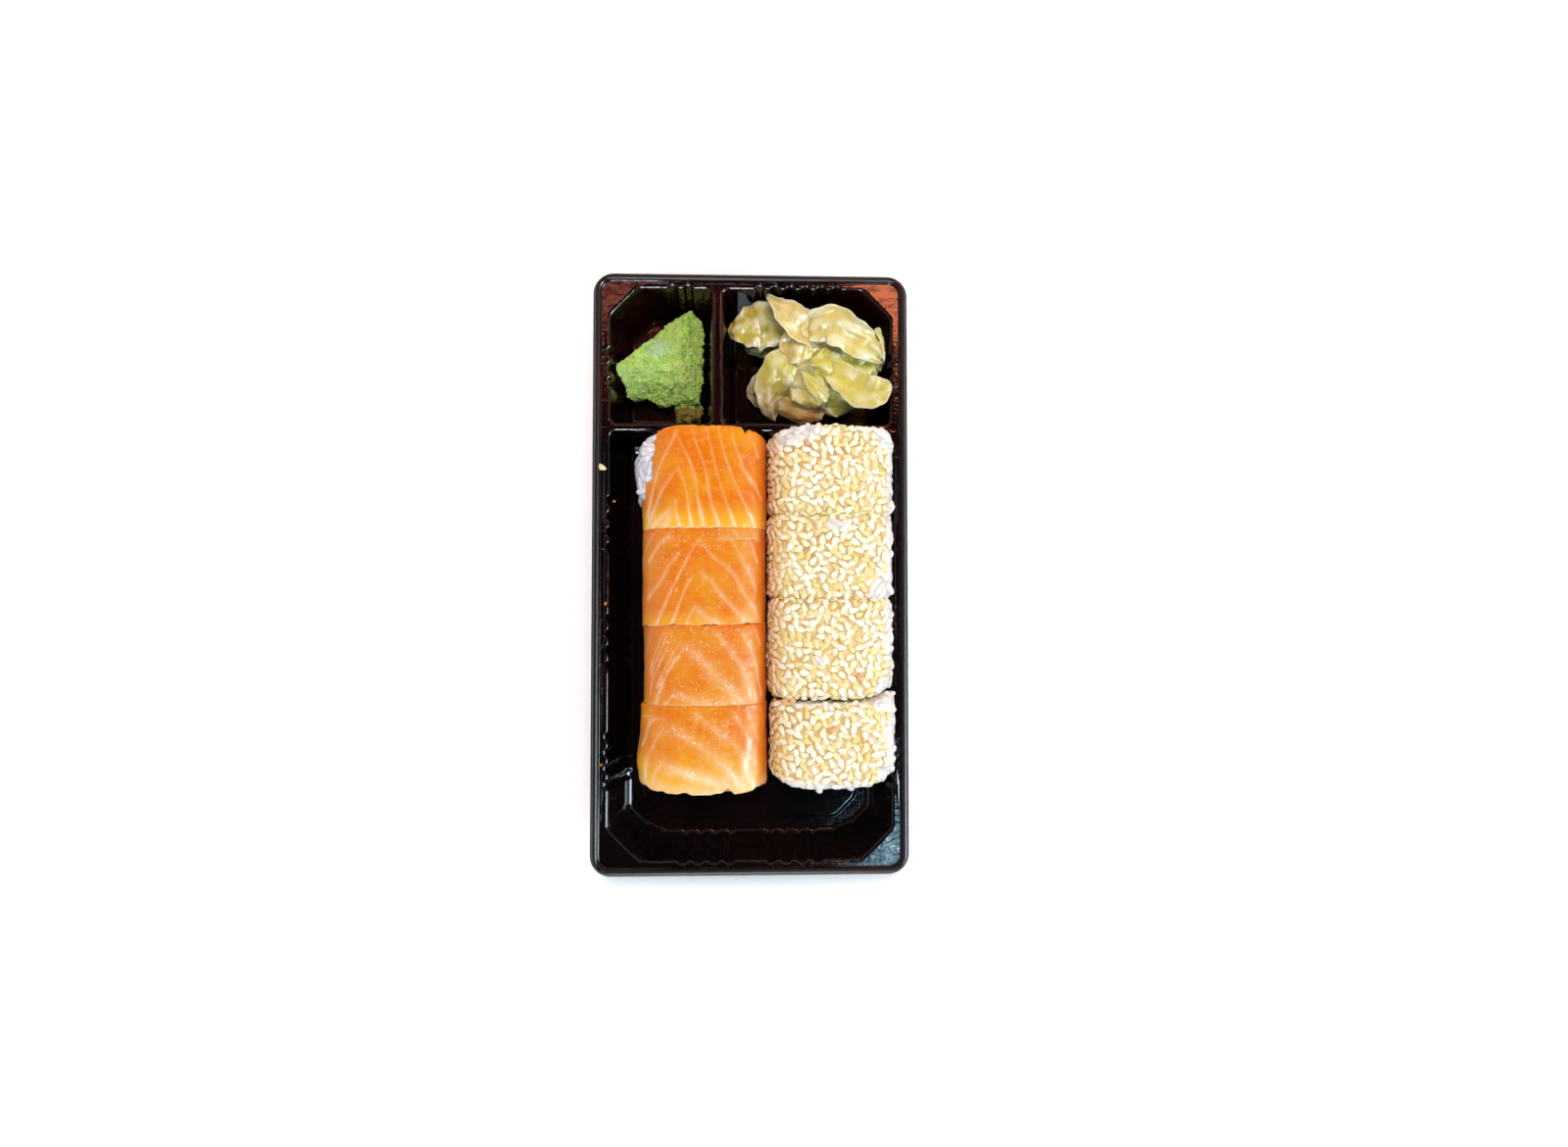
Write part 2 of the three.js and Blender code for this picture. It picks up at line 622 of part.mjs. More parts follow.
function makeWasabi() {
  const around = 30;
  const outline = new THREE.CatmullRomCurve3(WASABI_SILHOUETTE.map((p) => new THREE.Vector3(...p)), true);
  const centre = new THREE.Vector3(-27, 67.5, WASABI_CROWN);
  const rough = (i, k) => 0.45 * Math.sin(i * 2.3 + k * 1.9) + 0.3 * Math.sin(i * 5.1 - k * 2.7);
  const levels = [[0.84, 0], [0.97, 0.45], [1, 1], [0.86, 1.1], [0.62, 1], [0.32, 1]];
  const loops = levels.map(([spread, rise], k) => Array.from({ length: around }, (_, i) => {
    const rim = outline.getPointAt(i / around);
    const x = mix(centre.x, rim.x, spread + 0.012 * rough(i, k));
    const y = mix(centre.y, rim.y, spread + 0.012 * rough(i, k));
    const foot = Math.max(ROLL_FOOT, ROLL_FOOT + (rim.z - 12) * 0.9);
    const crown = mix(centre.z, rim.z, spread ** 1.6) + 0.5 * rough(i, k + 3);
    const z = k < 3 ? mix(foot, rim.z, rise) : crown;
    return keepInside(CELLS.wasabi, [x, y, z], 0.45);
  }));
  return loft(loops);
}

// Below the land a point is held inside the cell's walls, cut corner and floor
function keepInside(cell, [x, y, z], margin) {
  const floor = Math.max(z, PANEL_TOP + margin);
  if (floor > LAND_TOP + margin + 0.2) return [x, y, floor];
  const walls = cellWalls(cell, floor, margin + 0.2);
  let px = clamp(x, walls.left, walls.right);
  let py = clamp(y, walls.front, walls.back);
  const cut = cell.chamfer.backLeft || cell.chamfer.backRight;
  const side = cell.chamfer.backLeft ? walls.left : walls.right;
  const past = cut - (Math.abs(px - side) + Math.abs(py - walls.back));
  if (past > 0) {
    px += Math.sign(walls.left + walls.right - 2 * side) * past / 2;
    py -= past / 2;
  }
  return [px, py, floor];
}

// Ginger

// A slice is a thin wavy sheet along a spine, with a round outline and curled edges
function gingerSlice({ spine, half, tilt, curl }, index) {
  const along = 5;
  const across = 3;
  const path = new THREE.CatmullRomCurve3(spine.map((p) => new THREE.Vector3(...p)));
  const up = new THREE.Vector3(0, 0, 1);
  const layer = (offset) => Array.from({ length: along + 1 }, (_, i) => {
    const t = i / along;
    const tangent = path.getTangent(t);
    const side = new THREE.Vector3().crossVectors(tangent, up).normalize();
    side.applyAxisAngle(tangent, THREE.MathUtils.degToRad(tilt));
    const normal = new THREE.Vector3().crossVectors(side, tangent).normalize();
    const roundEnds = Math.sqrt(Math.max(0.12, 1 - (2 * t - 1) ** 4));
    const width = valueAt(half, t) * roundEnds;
    return Array.from({ length: across + 1 }, (_, j) => {
      const v = (2 * j) / across - 1;
      const lift = curl * (v * v - 0.4) + 0.5 * Math.sin(i * 1.6 + j * 1.1 + index * 2) + offset;
      const point = path.getPoint(t).addScaledVector(side, v * width).addScaledVector(normal, lift);
      return keepInside(CELLS.ginger, point.toArray(), 0.5 + offset * 0.4);
    });
  });
  return sheetSolid(layer(GINGER_THICKNESS / 2), layer(-GINGER_THICKNESS / 2));
}

function makeGinger() {
  const core = new THREE.IcosahedronGeometry(1, 2);
  core.scale(...GINGER_CORE.radii);
  core.translate(...GINGER_CORE.centre);
  const { array } = core.attributes.position;
  for (let i = 0; i < array.length; i += 3) {
    array.set(keepInside(CELLS.ginger, Array.from(array.slice(i, i + 3)), 0.5), i);
  }
  let heap = solidOf(indexed(core));
  GINGER_SLICES.forEach((slice, index) => { heap = heap.add(solidOf(gingerSlice(slice, index))); });
  return heap;
}

// Scene graph

const sushiTray = new THREE.Group();

function addNode(name, geometry, finish) {
  const [color, roughness] = COLOURS[finish];
  const mesh = new THREE.Mesh(geometry, new THREE.MeshStandardMaterial({ color, roughness, metalness: 0 }));
  mesh.name = name;
  sushiTray.add(mesh);
}

addNode('tray', geometryOf(makeTray()), 'tray');
SALMON_ROW.forEach((piece, index) => {
  addNode(`rice_salmon_${index + 1}`, salmonRice(piece, index), 'rice');
  addNode(`salmon_${index + 1}`, salmonSlice(piece, index), 'salmon');
});
SESAME_ROW.forEach((piece, index) => {
  addNode(`sesame_roll_${index + 1}`, geometryOf(sesameRoll(piece, index)), 'sesame');
});
addNode('wasabi', makeWasabi(), 'wasabi');
addNode('ginger', outerShell(makeGinger()), 'ginger');

export default sushiTray;
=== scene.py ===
import math

import bmesh
import bpy
import numpy as np
from mathutils import Matrix, Vector, noise
from mathutils.geometry import delaunay_2d_cdt


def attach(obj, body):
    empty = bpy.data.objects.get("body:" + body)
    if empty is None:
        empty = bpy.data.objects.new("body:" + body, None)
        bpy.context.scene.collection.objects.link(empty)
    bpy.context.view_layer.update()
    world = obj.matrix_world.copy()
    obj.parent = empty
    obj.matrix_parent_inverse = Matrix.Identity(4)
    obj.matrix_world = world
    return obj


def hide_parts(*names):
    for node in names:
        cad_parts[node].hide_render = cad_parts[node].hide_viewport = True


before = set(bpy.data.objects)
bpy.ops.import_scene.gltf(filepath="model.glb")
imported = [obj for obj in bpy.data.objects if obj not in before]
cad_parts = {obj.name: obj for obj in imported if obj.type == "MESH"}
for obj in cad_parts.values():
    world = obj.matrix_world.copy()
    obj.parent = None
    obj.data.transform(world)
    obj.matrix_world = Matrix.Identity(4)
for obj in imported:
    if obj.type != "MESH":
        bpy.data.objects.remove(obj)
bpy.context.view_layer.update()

mm = 0.001                                # everything below is worked out in millimetres


# Nodes

class Field:                              # a node's output, whose operators add Math nodes
    def __init__(self, graph, socket):
        self.graph = graph
        self.socket = socket

    def __add__(self, other):
        return self.graph.math('ADD', self, other)

    def __sub__(self, other):
        return self.graph.math('SUBTRACT', self, other)

    def __rsub__(self, other):
        return self.graph.math('SUBTRACT', other, self)

    def __mul__(self, other):
        return self.graph.math('MULTIPLY', self, other)

    __radd__ = __add__
    __rmul__ = __mul__

    def output(self, name):               # another output of the same node
        return Field(self.graph, self.socket.node.outputs[name])


class Graph:                              # adds linked nodes to a material or a node group
    def __init__(self, tree):
        self.tree = tree

    def feed(self, socket, value):        # three numbers for a colour run to 255, as on a screen
        if isinstance(value, Field):
            self.tree.links.new(value.socket, socket)
        else:
            onScreen = socket.type == 'RGBA' and len(value) == 3
            socket.default_value = tint(*value) if onScreen else value

    def add(self, kind, settings=None, values=None, output=0):
        node = self.tree.nodes.new(kind)
        for name, value in (settings or {}).items():
            if name == 'stops':
                ramp = node.color_ramp
                while len(ramp.elements) < len(value):
                    ramp.elements.new(0.5)
                for element, (place, colour) in zip(ramp.elements, value):
                    element.position = place
                    element.color = colour
            else:
                setattr(node, name, value)
        for name, value in (values or {}).items():
            self.feed(node.inputs[name], value)
        return Field(self, node.outputs[output]) if node.outputs else node

    def math(self, operation, first, second=0.0):
        return self.add('ShaderNodeMath', {'operation': operation}, {0: first, 1: second})

    def limits(self, value, low, high):   # 0 below low, 1 above high, smooth between
        return self.add('ShaderNodeMapRange', {'interpolation_type': 'SMOOTHSTEP'},
                        {'Value': value, 'From Min': low, 'From Max': high})

    def blend(self, factor, first, second):
        settings = {'data_type': 'RGBA', 'clamp_factor': True}
        return self.add('ShaderNodeMix', settings, {0: factor, 6: first, 7: second}, 2)

    def layered(self, colour, *layers):   # each layer is a share and a colour
        for share, over in layers:
            colour = self.blend(share, colour, over)
        return colour

    def axis(self, place, name):
        return self.add('ShaderNodeSeparateXYZ', {}, {0: place}, name)

    def place(self):
        return self.add('ShaderNodeTexCoord', output='Object')

    def stretched(self, place, factors):
        return self.add('ShaderNodeMapping', {}, {'Vector': place, 'Scale': factors})

    def noise(self, place, size, detail=2.0, distortion=0.0):
        values = {'Vector': place, 'Scale': 1 / (size * mm), 'Detail': detail, 'Distortion': distortion}
        return self.add('ShaderNodeTexNoise', {}, values)

    def attribute(self, name, output='Fac'):
        return self.add('ShaderNodeAttribute', {'attribute_name': name}, output=output)

    def bump(self, height, distance, strength, normal=None):
        values = {'Height': height, 'Distance': distance * mm, 'Strength': strength}
        if normal:
            values['Normal'] = normal
        return self.add('ShaderNodeBump', {}, values)


def tint(red, green, blue):               # a colour of 0 to 255 on a screen, as linear light
    def linear(value):
        share = value / 255
        return share / 12.92 if share <= 0.04045 else ((share + 0.055) / 1.055) ** 2.4
    return (linear(red), linear(green), linear(blue), 1.0)


class Paint(Graph):                       # a material, whose shader is fed when it is finished
    def __init__(self, name):
        self.material = bpy.data.materials.new(name)
        self.material.use_nodes = True
        super().__init__(self.material.node_tree)

    def finished(self, values, soft=None):
        # soft: how much light goes in, how many millimetres far, and each colour's share
        if soft:
            weight, reach, radius = soft
            values.update({'Subsurface Weight': weight, 'Subsurface Scale': reach * mm,
                           'Subsurface Radius': radius})
        shader = self.tree.nodes['Principled BSDF']
        for name, value in values.items():
            self.feed(shader.inputs[name], value)
        return self.material


# Shapes

def mix(first, second, share):
    return first + (second - first) * share


def smooth(low, high, value):
    share = np.clip((value - low) / (high - low), 0, 1)
    return share * share * (3 - 2 * share)


def hill(value, half):                    # 1 at 0, falling away on both sides
    return np.exp(-(value / half) ** 2)


def roughAt(points, size, octaves, start=0.0):
    shift = Vector((start, start, start))
    return np.array([noise.fractal(Vector(point) / size + shift, 1.0, 2.0, octaves)
                     for point in points])


def unit(way):
    return way / np.linalg.norm(way)


def curvePoints(points, count, closed=False):
    # a centripetal Catmull-Rom curve through the points, as an array
    points = np.array(points, float)
    last = len(points) if closed else len(points) - 1
    if closed:
        padded = np.vstack([points[-1], points, points[:2]])
    else:
        padded = np.vstack([2 * points[0] - points[1], points, 2 * points[-1] - points[-2]])
    made = []
    for share in np.arange(count) / (count if closed else count - 1):
        k = min(last - 1, int(share * last))
        t = share * last - k
        p0, p1, p2, p3 = padded[k:k + 4]
        k0, k1, k2 = (max(1e-6, np.linalg.norm(way)) ** 0.5 for way in (p1 - p0, p2 - p1, p3 - p2))
        start = ((p1 - p0) / k0 - (p2 - p0) / (k0 + k1) + (p2 - p1) / k1) * k1
        end = ((p2 - p1) / k1 - (p3 - p1) / (k1 + k2) + (p3 - p2) / k2) * k1
        a = 2 * p1 - 2 * p2 + start + end
        b = -3 * p1 + 3 * p2 - 2 * start - end
        made.append(a * t ** 3 + b * t ** 2 + start * t + p1)
    return np.array(made)


def insideLoop(place, loop):
    x, y = np.array(loop)[:, :2].T
    nextX, nextY = np.roll(x, -1), np.roll(y, -1)
    crossing = (y > place[1]) != (nextY > place[1])
    where = x + (place[1] - y) * (nextX - x) / np.where(nextY == y, 1e-12, nextY - y)
    return bool(np.sum(crossing & (place[0] < where)) % 2)


class Skin:                               # points and faces gathered loop by loop
    def __init__(self):
        self.points = []
        self.faces = []

    def loop(self, points):
        start = len(self.points)
        self.points += [tuple(point) for point in points]
        return list(range(start, start + len(points)))

    def strip(self, first, second, closed=True):
        count = len(first)
        for i in range(count if closed else count - 1):
            j = (i + 1) % count
            self.faces.append((first[i], first[j], second[j], second[i]))

    def strips(self, loops, closed=True):
        for first, second in zip(loops, loops[1:]):
            self.strip(first, second, closed)

    def sheet(self, sides):               # a closed sheet from the grids of its two sides
        for grid in sides:
            self.strips(grid, closed=False)
        self.strips([[row[0] for row in grid] + grid[-1][1:] + [row[-1] for row in grid[-2::-1]]
                     + grid[0][-2:0:-1] for grid in sides])

    def fan(self, loop, centre, turned=False):
        middle = self.loop([centre])[0]
        for i in range(len(loop)):
            j = (i + 1) % len(loop)
            self.faces.append((loop[j], loop[i], middle) if turned else (loop[i], loop[j], middle))

    def cap(self, loop, turned=False):    # a fan to the loop's middle
        self.fan(loop, np.array([self.points[i] for i in loop]).mean(0), turned)

    def flat(self, outer, holes=()):      # a level fill inside one loop and outside the others
        loops = [outer, *holes]
        ids = [i for loop in loops for i in loop]
        flat = [Vector(self.points[i][:2]) for i in ids]
        edges = []
        for loop in loops:
            start = len(edges)
            edges += [(start + k, start + (k + 1) % len(loop)) for k in range(len(loop))]
        made, _, triangles, origins, _, _ = delaunay_2d_cdt(flat, edges, [], 1, 1e-7)
        for triangle in triangles:
            centre = sum((made[i] for i in triangle), Vector((0, 0))) / 3
            inside = [insideLoop(centre, [self.points[i] for i in loop]) for loop in loops]
            if inside[0] and not any(inside[1:]):
                self.faces.append(tuple(ids[origins[i][0]] for i in triangle))

    def mesh(self, name):
        mesh = bpy.data.meshes.new(name)
        mesh.from_pydata((np.array(self.points) * mm).tolist(), [], self.faces)
        mesh.validate()
        return mesh


def addPiece(name, mesh, material=None):
    piece = bpy.data.objects.new(name, mesh)
    bpy.context.scene.collection.objects.link(piece)
    if material:
        mesh.materials.clear()
        mesh.materials.append(material)
    mesh.polygons.foreach_set('use_smooth', [True] * len(mesh.polygons))
    return piece


def outward(mesh, merged=True, top=None):
    # every face points out; on an open mesh, the face where top is greatest points up
    work = bmesh.new()
    work.from_mesh(mesh)
    if merged:
        bmesh.ops.remove_doubles(work, verts=work.verts, dist=1e-7)
    bmesh.ops.recalc_face_normals(work, faces=work.faces)
    if top and max(work.faces, key=top).normal.z < 0:
        bmesh.ops.reverse_faces(work, faces=work.faces)
    work.to_mesh(mesh)
    work.free()
    return mesh


def setValues(mesh, name, values):
    attribute = mesh.attributes.new(name, 'FLOAT', 'POINT')
    attribute.data.foreach_set('value', np.asarray(values, np.float32))


def applied(piece):                       # the piece's modifiers become its plain mesh
    graph = bpy.context.evaluated_depsgraph_get()
    mesh = bpy.data.meshes.new_from_object(piece.evaluated_get(graph))
    piece.modifiers.clear()
    piece.data = mesh
    return piece


def joined(pieces):
    if len(pieces) == 1:
        return pieces[0]
    with bpy.context.temp_override(active_object=pieces[0], selected_editable_objects=pieces):
        bpy.ops.object.join()
    return pieces[0]


def handOver(piece, slot, *nodes):        # every piece rides on the one body
    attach(piece, 'root')
    if nodes:
        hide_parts(*nodes)
    print(piece.name, len(piece.data.polygons), 'faces')


# Scatter

def scatterTree():                        # grains over a surface, more where its 'cover' is near 1
    tree = bpy.data.node_groups.new('scatterOnSurface', 'GeometryNodeTree')
    sockets = [('Surface', 'Geometry'), ('Grain', 'Object'), ('Spacing', 'Float'), ('Density', 'Float'),
               ('Lift', 'Float'), ('Sink', 'Float'), ('Tilt', 'Float'), ('Smallest', 'Float'),
               ('Largest', 'Float'), ('Seed', 'Int'), ('Keep Surface', 'Bool'), ('Finish', 'Material')]
    for name, kind in sockets:
        tree.interface.new_socket(name, in_out='INPUT', socket_type='NodeSocket' + kind)
    tree.interface.new_socket('Result', in_out='OUTPUT', socket_type='NodeSocketGeometry')
    graph = Graph(tree)
    entry = graph.add('NodeGroupInput')

    def given(name):
        return entry.output(name)

    def drawn(low, high, salt, kind='FLOAT'):
        first, second, result = (0, 1, 0) if kind == 'FLOAT_VECTOR' else (2, 3, 1)
        values = {first: low, second: high, 8: given('Seed') + salt}
        return graph.add('FunctionNodeRandomValue', {'data_type': kind}, values, result)

    cover = graph.add('GeometryNodeInputNamedAttribute', {'data_type': 'FLOAT'}, {'Name': 'cover'})
    points = graph.add(
        'GeometryNodeDistributePointsOnFaces', {'distribute_method': 'POISSON'},
        {'Mesh': given('Surface'), 'Distance Min': given('Spacing'), 'Density Max': given('Density'),
         'Density Factor': cover, 'Seed': given('Seed')})
    depth = drawn(0.0, 1.0, 1)
    # 'shade' is how deep a grain is sunk; the materials darken deeper grains with it as painted shade
    shaded = graph.add('GeometryNodeStoreNamedAttribute', {'data_type': 'FLOAT', 'domain': 'POINT'},
                       {'Geometry': points, 'Name': 'shade', 'Value': depth})
    move = graph.add('ShaderNodeVectorMath', {'operation': 'SCALE'},
                     {0: points.output('Normal'), 'Scale': given('Lift') - given('Sink') * depth})
    sunk = graph.add('GeometryNodeSetPosition', {}, {'Geometry': shaded, 'Offset': move})
    grains = graph.add('GeometryNodeObjectInfo', {}, {'Object': given('Grain')}, 'Geometry')
    placed = graph.add(
        'GeometryNodeInstanceOnPoints', {},
        {'Points': sunk, 'Instance': grains, 'Rotation': points.output('Rotation'),
         'Scale': drawn(given('Smallest'), given('Largest'), 2)})
    low = graph.add('ShaderNodeCombineXYZ', {}, {0: 0 - given('Tilt'), 1: 0 - given('Tilt'), 2: 0.0})
    high = graph.add('ShaderNodeCombineXYZ', {}, {0: given('Tilt'), 1: given('Tilt'), 2: 2 * math.pi})
    turned = graph.add('GeometryNodeRotateInstances', {},
                       {'Instances': placed, 'Rotation': drawn(low, high, 3, 'FLOAT_VECTOR')})
    kept = graph.add('GeometryNodeSwitch', {'input_type': 'GEOMETRY'},
                     {'Switch': given('Keep Surface'), 'True': given('Surface')})
    joined = graph.add('GeometryNodeJoinGeometry')
    graph.tree.links.new(turned.socket, joined.socket.node.inputs[0])
    graph.tree.links.new(kept.socket, joined.socket.node.inputs[0])
    real = graph.add('GeometryNodeRealizeInstances', {}, {'Geometry': joined})
    dressed = graph.add('GeometryNodeSetMaterial', {}, {'Geometry': real, 'Material': given('Finish')})
    out = graph.tree.nodes.new('NodeGroupOutput')
    graph.feed(out.inputs['Result'], dressed)
    return tree


scatter = scatterTree()


def scattered(surface, grain, finish, keepSurface, seed, look):
    # grains over a surface: look gives the spacing, lift, sink, tilt and the range of sizes
    modifier = surface.modifiers.new('scatter', 'NODES')
    modifier.node_group = scatter
    values = {'Grain': grain, 'Spacing': look['spacing'] * mm, 'Density': look['density'] / mm ** 2,
              'Lift': look['lift'] * mm, 'Sink': look['sink'] * mm, 'Tilt': math.radians(look['tilt']),
              'Smallest': look['sizes'][0], 'Largest': look['sizes'][1], 'Seed': seed,
              'Keep Surface': keepSurface, 'Finish': finish}
    for item in scatter.interface.items_tree:
        if item.name in values:
            modifier[item.identifier] = values[item.name]
    return applied(surface)


def grainObject(name, size, rings, around, taper=0.0, fullness=0.8):
    # one grain lying along X, blunt by fullness and narrower at one end by taper
    length, width, thickness = size
    skin = Skin()
    loops = []
    for k in range(1, rings):
        turn = math.pi * k / rings
        along = math.copysign(abs(math.cos(turn)) ** fullness, math.cos(turn))
        girth = math.sin(turn) ** fullness * (1 - taper * along)
        loops.append(skin.loop([
            (length / 2 * along, width / 2 * girth * math.cos(a), thickness / 2 * girth * math.sin(a))
            for a in (2 * math.pi * i / around for i in range(around))]))
    skin.strips(loops)
    skin.fan(loops[0], (length / 2, 0, 0), turned=True)
    skin.fan(loops[-1], (-length / 2, 0, 0))
    return addPiece(name, outward(skin.mesh(name)))


# Tray

tray = {
    'halfWidth': 50, 'halfLength': 95, 'landTop': 22.8, 'sheet': 0.7, 'cornerRadius': 6.5,
    'outerDraft': 4.2, 'dividerDraft': 3, 'chamferDraft': 1.4, 'cellCorner': 2, 'chamferCorner': 1.6,
    'edgeRadius': 0.8, 'edgeBand': 0.28, 'footRadius': 1.5, 'footBand': 0.3,
    'flutePitch': 4.9, 'fluteHalfWidth': 1.85, 'fluteHalfFlat': 0.5, 'fluteDepth': 0.85,
    'fluteStep': 0.45, 'fluteFade': 0.8, 'plainSteps': 8, 'lugReach': 3.8, 'lugFlat': 1.2, 'lugDepth': 1.7,
    # inset from the outer edge and height, from the foot of the skirt over the bead to the land
    'bead': [[0, 20.8], [0, 21.2], [0.14, 21.45], [0.45, 21.6], [0.6, 21.85], [0.78, 23], [0.92, 23.5],
             [1.2, 23.86], [1.65, 24], [2.1, 23.88], [2.4, 23.6], [2.62, 23.2], [2.85, 22.9],
             [3.0, 22.8], [3.15, 22.8]],
    # margin from the cell's wall and height of the panel raised in each floor
    'panel': [[4.5, 0.7], [4.8, 0.7], [4.98, 0.8], [5.1, 1.1], [5.3, 1.52], [5.5, 1.66], [5.75, 1.7],
              [6.1, 1.7]],
    'panelMargin': 5.5, 'panelEase': 0.6,
    # the darker colour of the front, the sheet's own, the browner colour of the back, a painted warm
    # reflection, and where along the tray the one gives way to the other
    'plain': ((8, 4, 5), (20, 7, 8)), 'warm': ((12, 3, 3), (32, 7, 5)), 'warmth': (30, 60),
}
cells = {
    'main': {
        'left': -44.4, 'right': 44.4, 'front': -90, 'back': 44.5, 'dividers': ['back'],
        'cuts': {'frontLeft': 9.8, 'frontRight': 9.8}, 'panelCut': 6.3,
        'flutes': {'left': [[15, 4], [-22, 4], [-59, 4]], 'right': [[15, 4], [-22, 4], [-59, 4]],
                   'front': [[-13.8, 4], [13.8, 4]]},
        'lugs': ['frontLeft', 'frontRight'],
    },
    'wasabi': {
        'left': -44.4, 'right': -12.3, 'front': 46.9, 'back': 90, 'dividers': ['right', 'front'],
        'cuts': {'backLeft': 8.6}, 'panelCut': 3.6,
        'flutes': {'back': [[-22.4, 2]], 'left': [[64.8, 3]]},
    },
    'ginger': {
        'left': -8.9, 'right': 44.4, 'front': 46.9, 'back': 90, 'dividers': ['left', 'front'],
        'cuts': {'backRight': 8.8}, 'panelCut': 4.4,
        'flutes': {'back': [[15.1, 6]], 'right': [[64, 3]]},
    },
}
cornerNames = ['frontLeft', 'frontRight', 'backRight', 'backLeft']
sideNames = ['front', 'right', 'back', 'left']
quadrants = [(-1, -1), (1, -1), (1, 1), (-1, 1)]


def wallShare(z):                         # how far a wall has come in, as a share of its draft
    return np.clip((tray['landTop'] - z) / (tray['landTop'] - tray['sheet']), 0, 1)


def cellWalls(cell, z, margin=0.0):
    share = wallShare(z)
    walls = {}
    for side in sideNames:
        draft = tray['dividerDraft' if side in cell['dividers'] else 'outerDraft']
        inward = 1 if side in ('left', 'front') else -1
        walls[side] = cell[side] + inward * draft * share + inward * margin
    return walls


def wallCorners(walls):
    return [(walls[x], walls[y]) for x, y in (('left', 'front'), ('right', 'front'),
                                              ('right', 'back'), ('left', 'back'))]


def cornerPath(x, y, quadrant, cut, radius, lug):
    # a corner walked counter-clockwise: round, or cut off with its two ends eased
    sx, sy = quadrants[quadrant]
    if not cut:
        turns = [math.pi * (1 + quadrant / 2 + k / 12) for k in range(7)]
        return [(x - sx * radius + radius * math.cos(a), y - sy * radius + radius * math.sin(a))
                for a in turns]
    along, sideways = (np.array((x - sx * far, y)) for far in (cut, cut + 10))
    up, upwards = (np.array((x, y - sy * far)) for far in (cut, cut + 10))

    def eased(corner, before, after):
        start, end = (corner + unit(way - corner) * tray['chamferCorner'] for way in (before, after))
        return [tuple(mix(mix(start, corner, t), mix(corner, end, t), t)) for t in np.linspace(0, 1, 6)]

    def lugged(corner, before, after):
        before, after = unit(before - corner), unit(after - corner)
        path = []
        for way in np.linspace(-tray['lugReach'], tray['lugReach'], 17):
            base = corner + (before * -way if way < 0 else after * way)
            rise = 1 - smooth(tray['lugFlat'], tray['lugReach'], abs(way))
            path.append(tuple(base + unit(before + after) * lug * rise))
        return path

    bend = eased if lug is None else lugged
    if quadrant % 2:
        return bend(along, sideways, up) + eased(up, along, upwards)
    return eased(up, upwards, along) + bend(along, up, sideways)


def sidePath(start, end, fixed, outwardWay, marks, groove, count):
    # a side from start to end along one axis, with its flutes pressed outwards
    half = tray['fluteHalfWidth']
    place = np.linspace(start, end, count + 1)[1:-1]
    press = np.zeros(place.shape)
    for mark in marks:
        press = np.maximum(press, 1 - smooth(tray['fluteHalfFlat'], half, np.abs(place - mark)))
    press *= smooth(0, tray['fluteFade'], np.minimum(np.abs(place - start), np.abs(place - end)))
    return np.stack([place, fixed + outwardWay * press * groove * tray['fluteDepth']], 1)


def cellOutline(cell, z, out, groove=1.0, lug=1.0):
    share = wallShare(z)
    lengths = [cell['right'] - cell['left'], cell['back'] - cell['front']]
    paths = []
    for k, (x, y) in enumerate(wallCorners(cellWalls(cell, z, -out))):
        opening = cell['cuts'].get(cornerNames[k])
        cut = opening and opening - tray['chamferDraft'] * share + (2 - math.sqrt(2)) * out
        bulge = tray['lugDepth'] * lug if cornerNames[k] in cell.get('lugs', ()) else None
        paths.append(cornerPath(x, y, k, cut, max(0.3, tray['cellCorner'] + out), bulge))
    outline = []
    for k, name in enumerate(sideNames):
        outline += paths[k]
        begin, finish = paths[k][-1], paths[(k + 1) % 4][0]
        marks = [centre + (i - (count - 1) / 2) * tray['flutePitch']
                 for centre, count in cell['flutes'].get(name, []) for i in range(count)]
        axis = k % 2                      # the front and back run along X, the sides along Y
        outwardWay = -1 if name in ('front', 'left') else 1
        count = round(lengths[axis] / tray['fluteStep']) if marks else tray['plainSteps']
        side = sidePath(begin[axis], finish[axis], begin[1 - axis], outwardWay, marks, groove, count)
        outline += [(a, b) if axis == 0 else (b, a) for a, b in side.tolist()]
    return [(x, y, z) for x, y in outline]


def panelOutline(cell, margin, z):
    cut = cell['panelCut'] - tray['panelEase'] * (margin - tray['panelMargin'])
    outline = []
    for k, (x, y) in enumerate(wallCorners(cellWalls(cell, tray['sheet'], margin))):
        outline += cornerPath(x, y, k, cut, 0, None)
    return [(x, y, z) for x, y in outline]


def rimOutline(inset, z):
    radius = tray['cornerRadius'] - inset
    x, y = tray['halfWidth'] - inset - radius, tray['halfLength'] - inset - radius
    outline = []
    for k, (sx, sy) in enumerate(quadrants):
        for turn in np.linspace(0, math.pi / 2, 15):
            angle = math.pi * (1 + k / 2) + turn
            outline.append((sx * x + radius * math.cos(angle), sy * y + radius * math.sin(angle), z))
    return outline


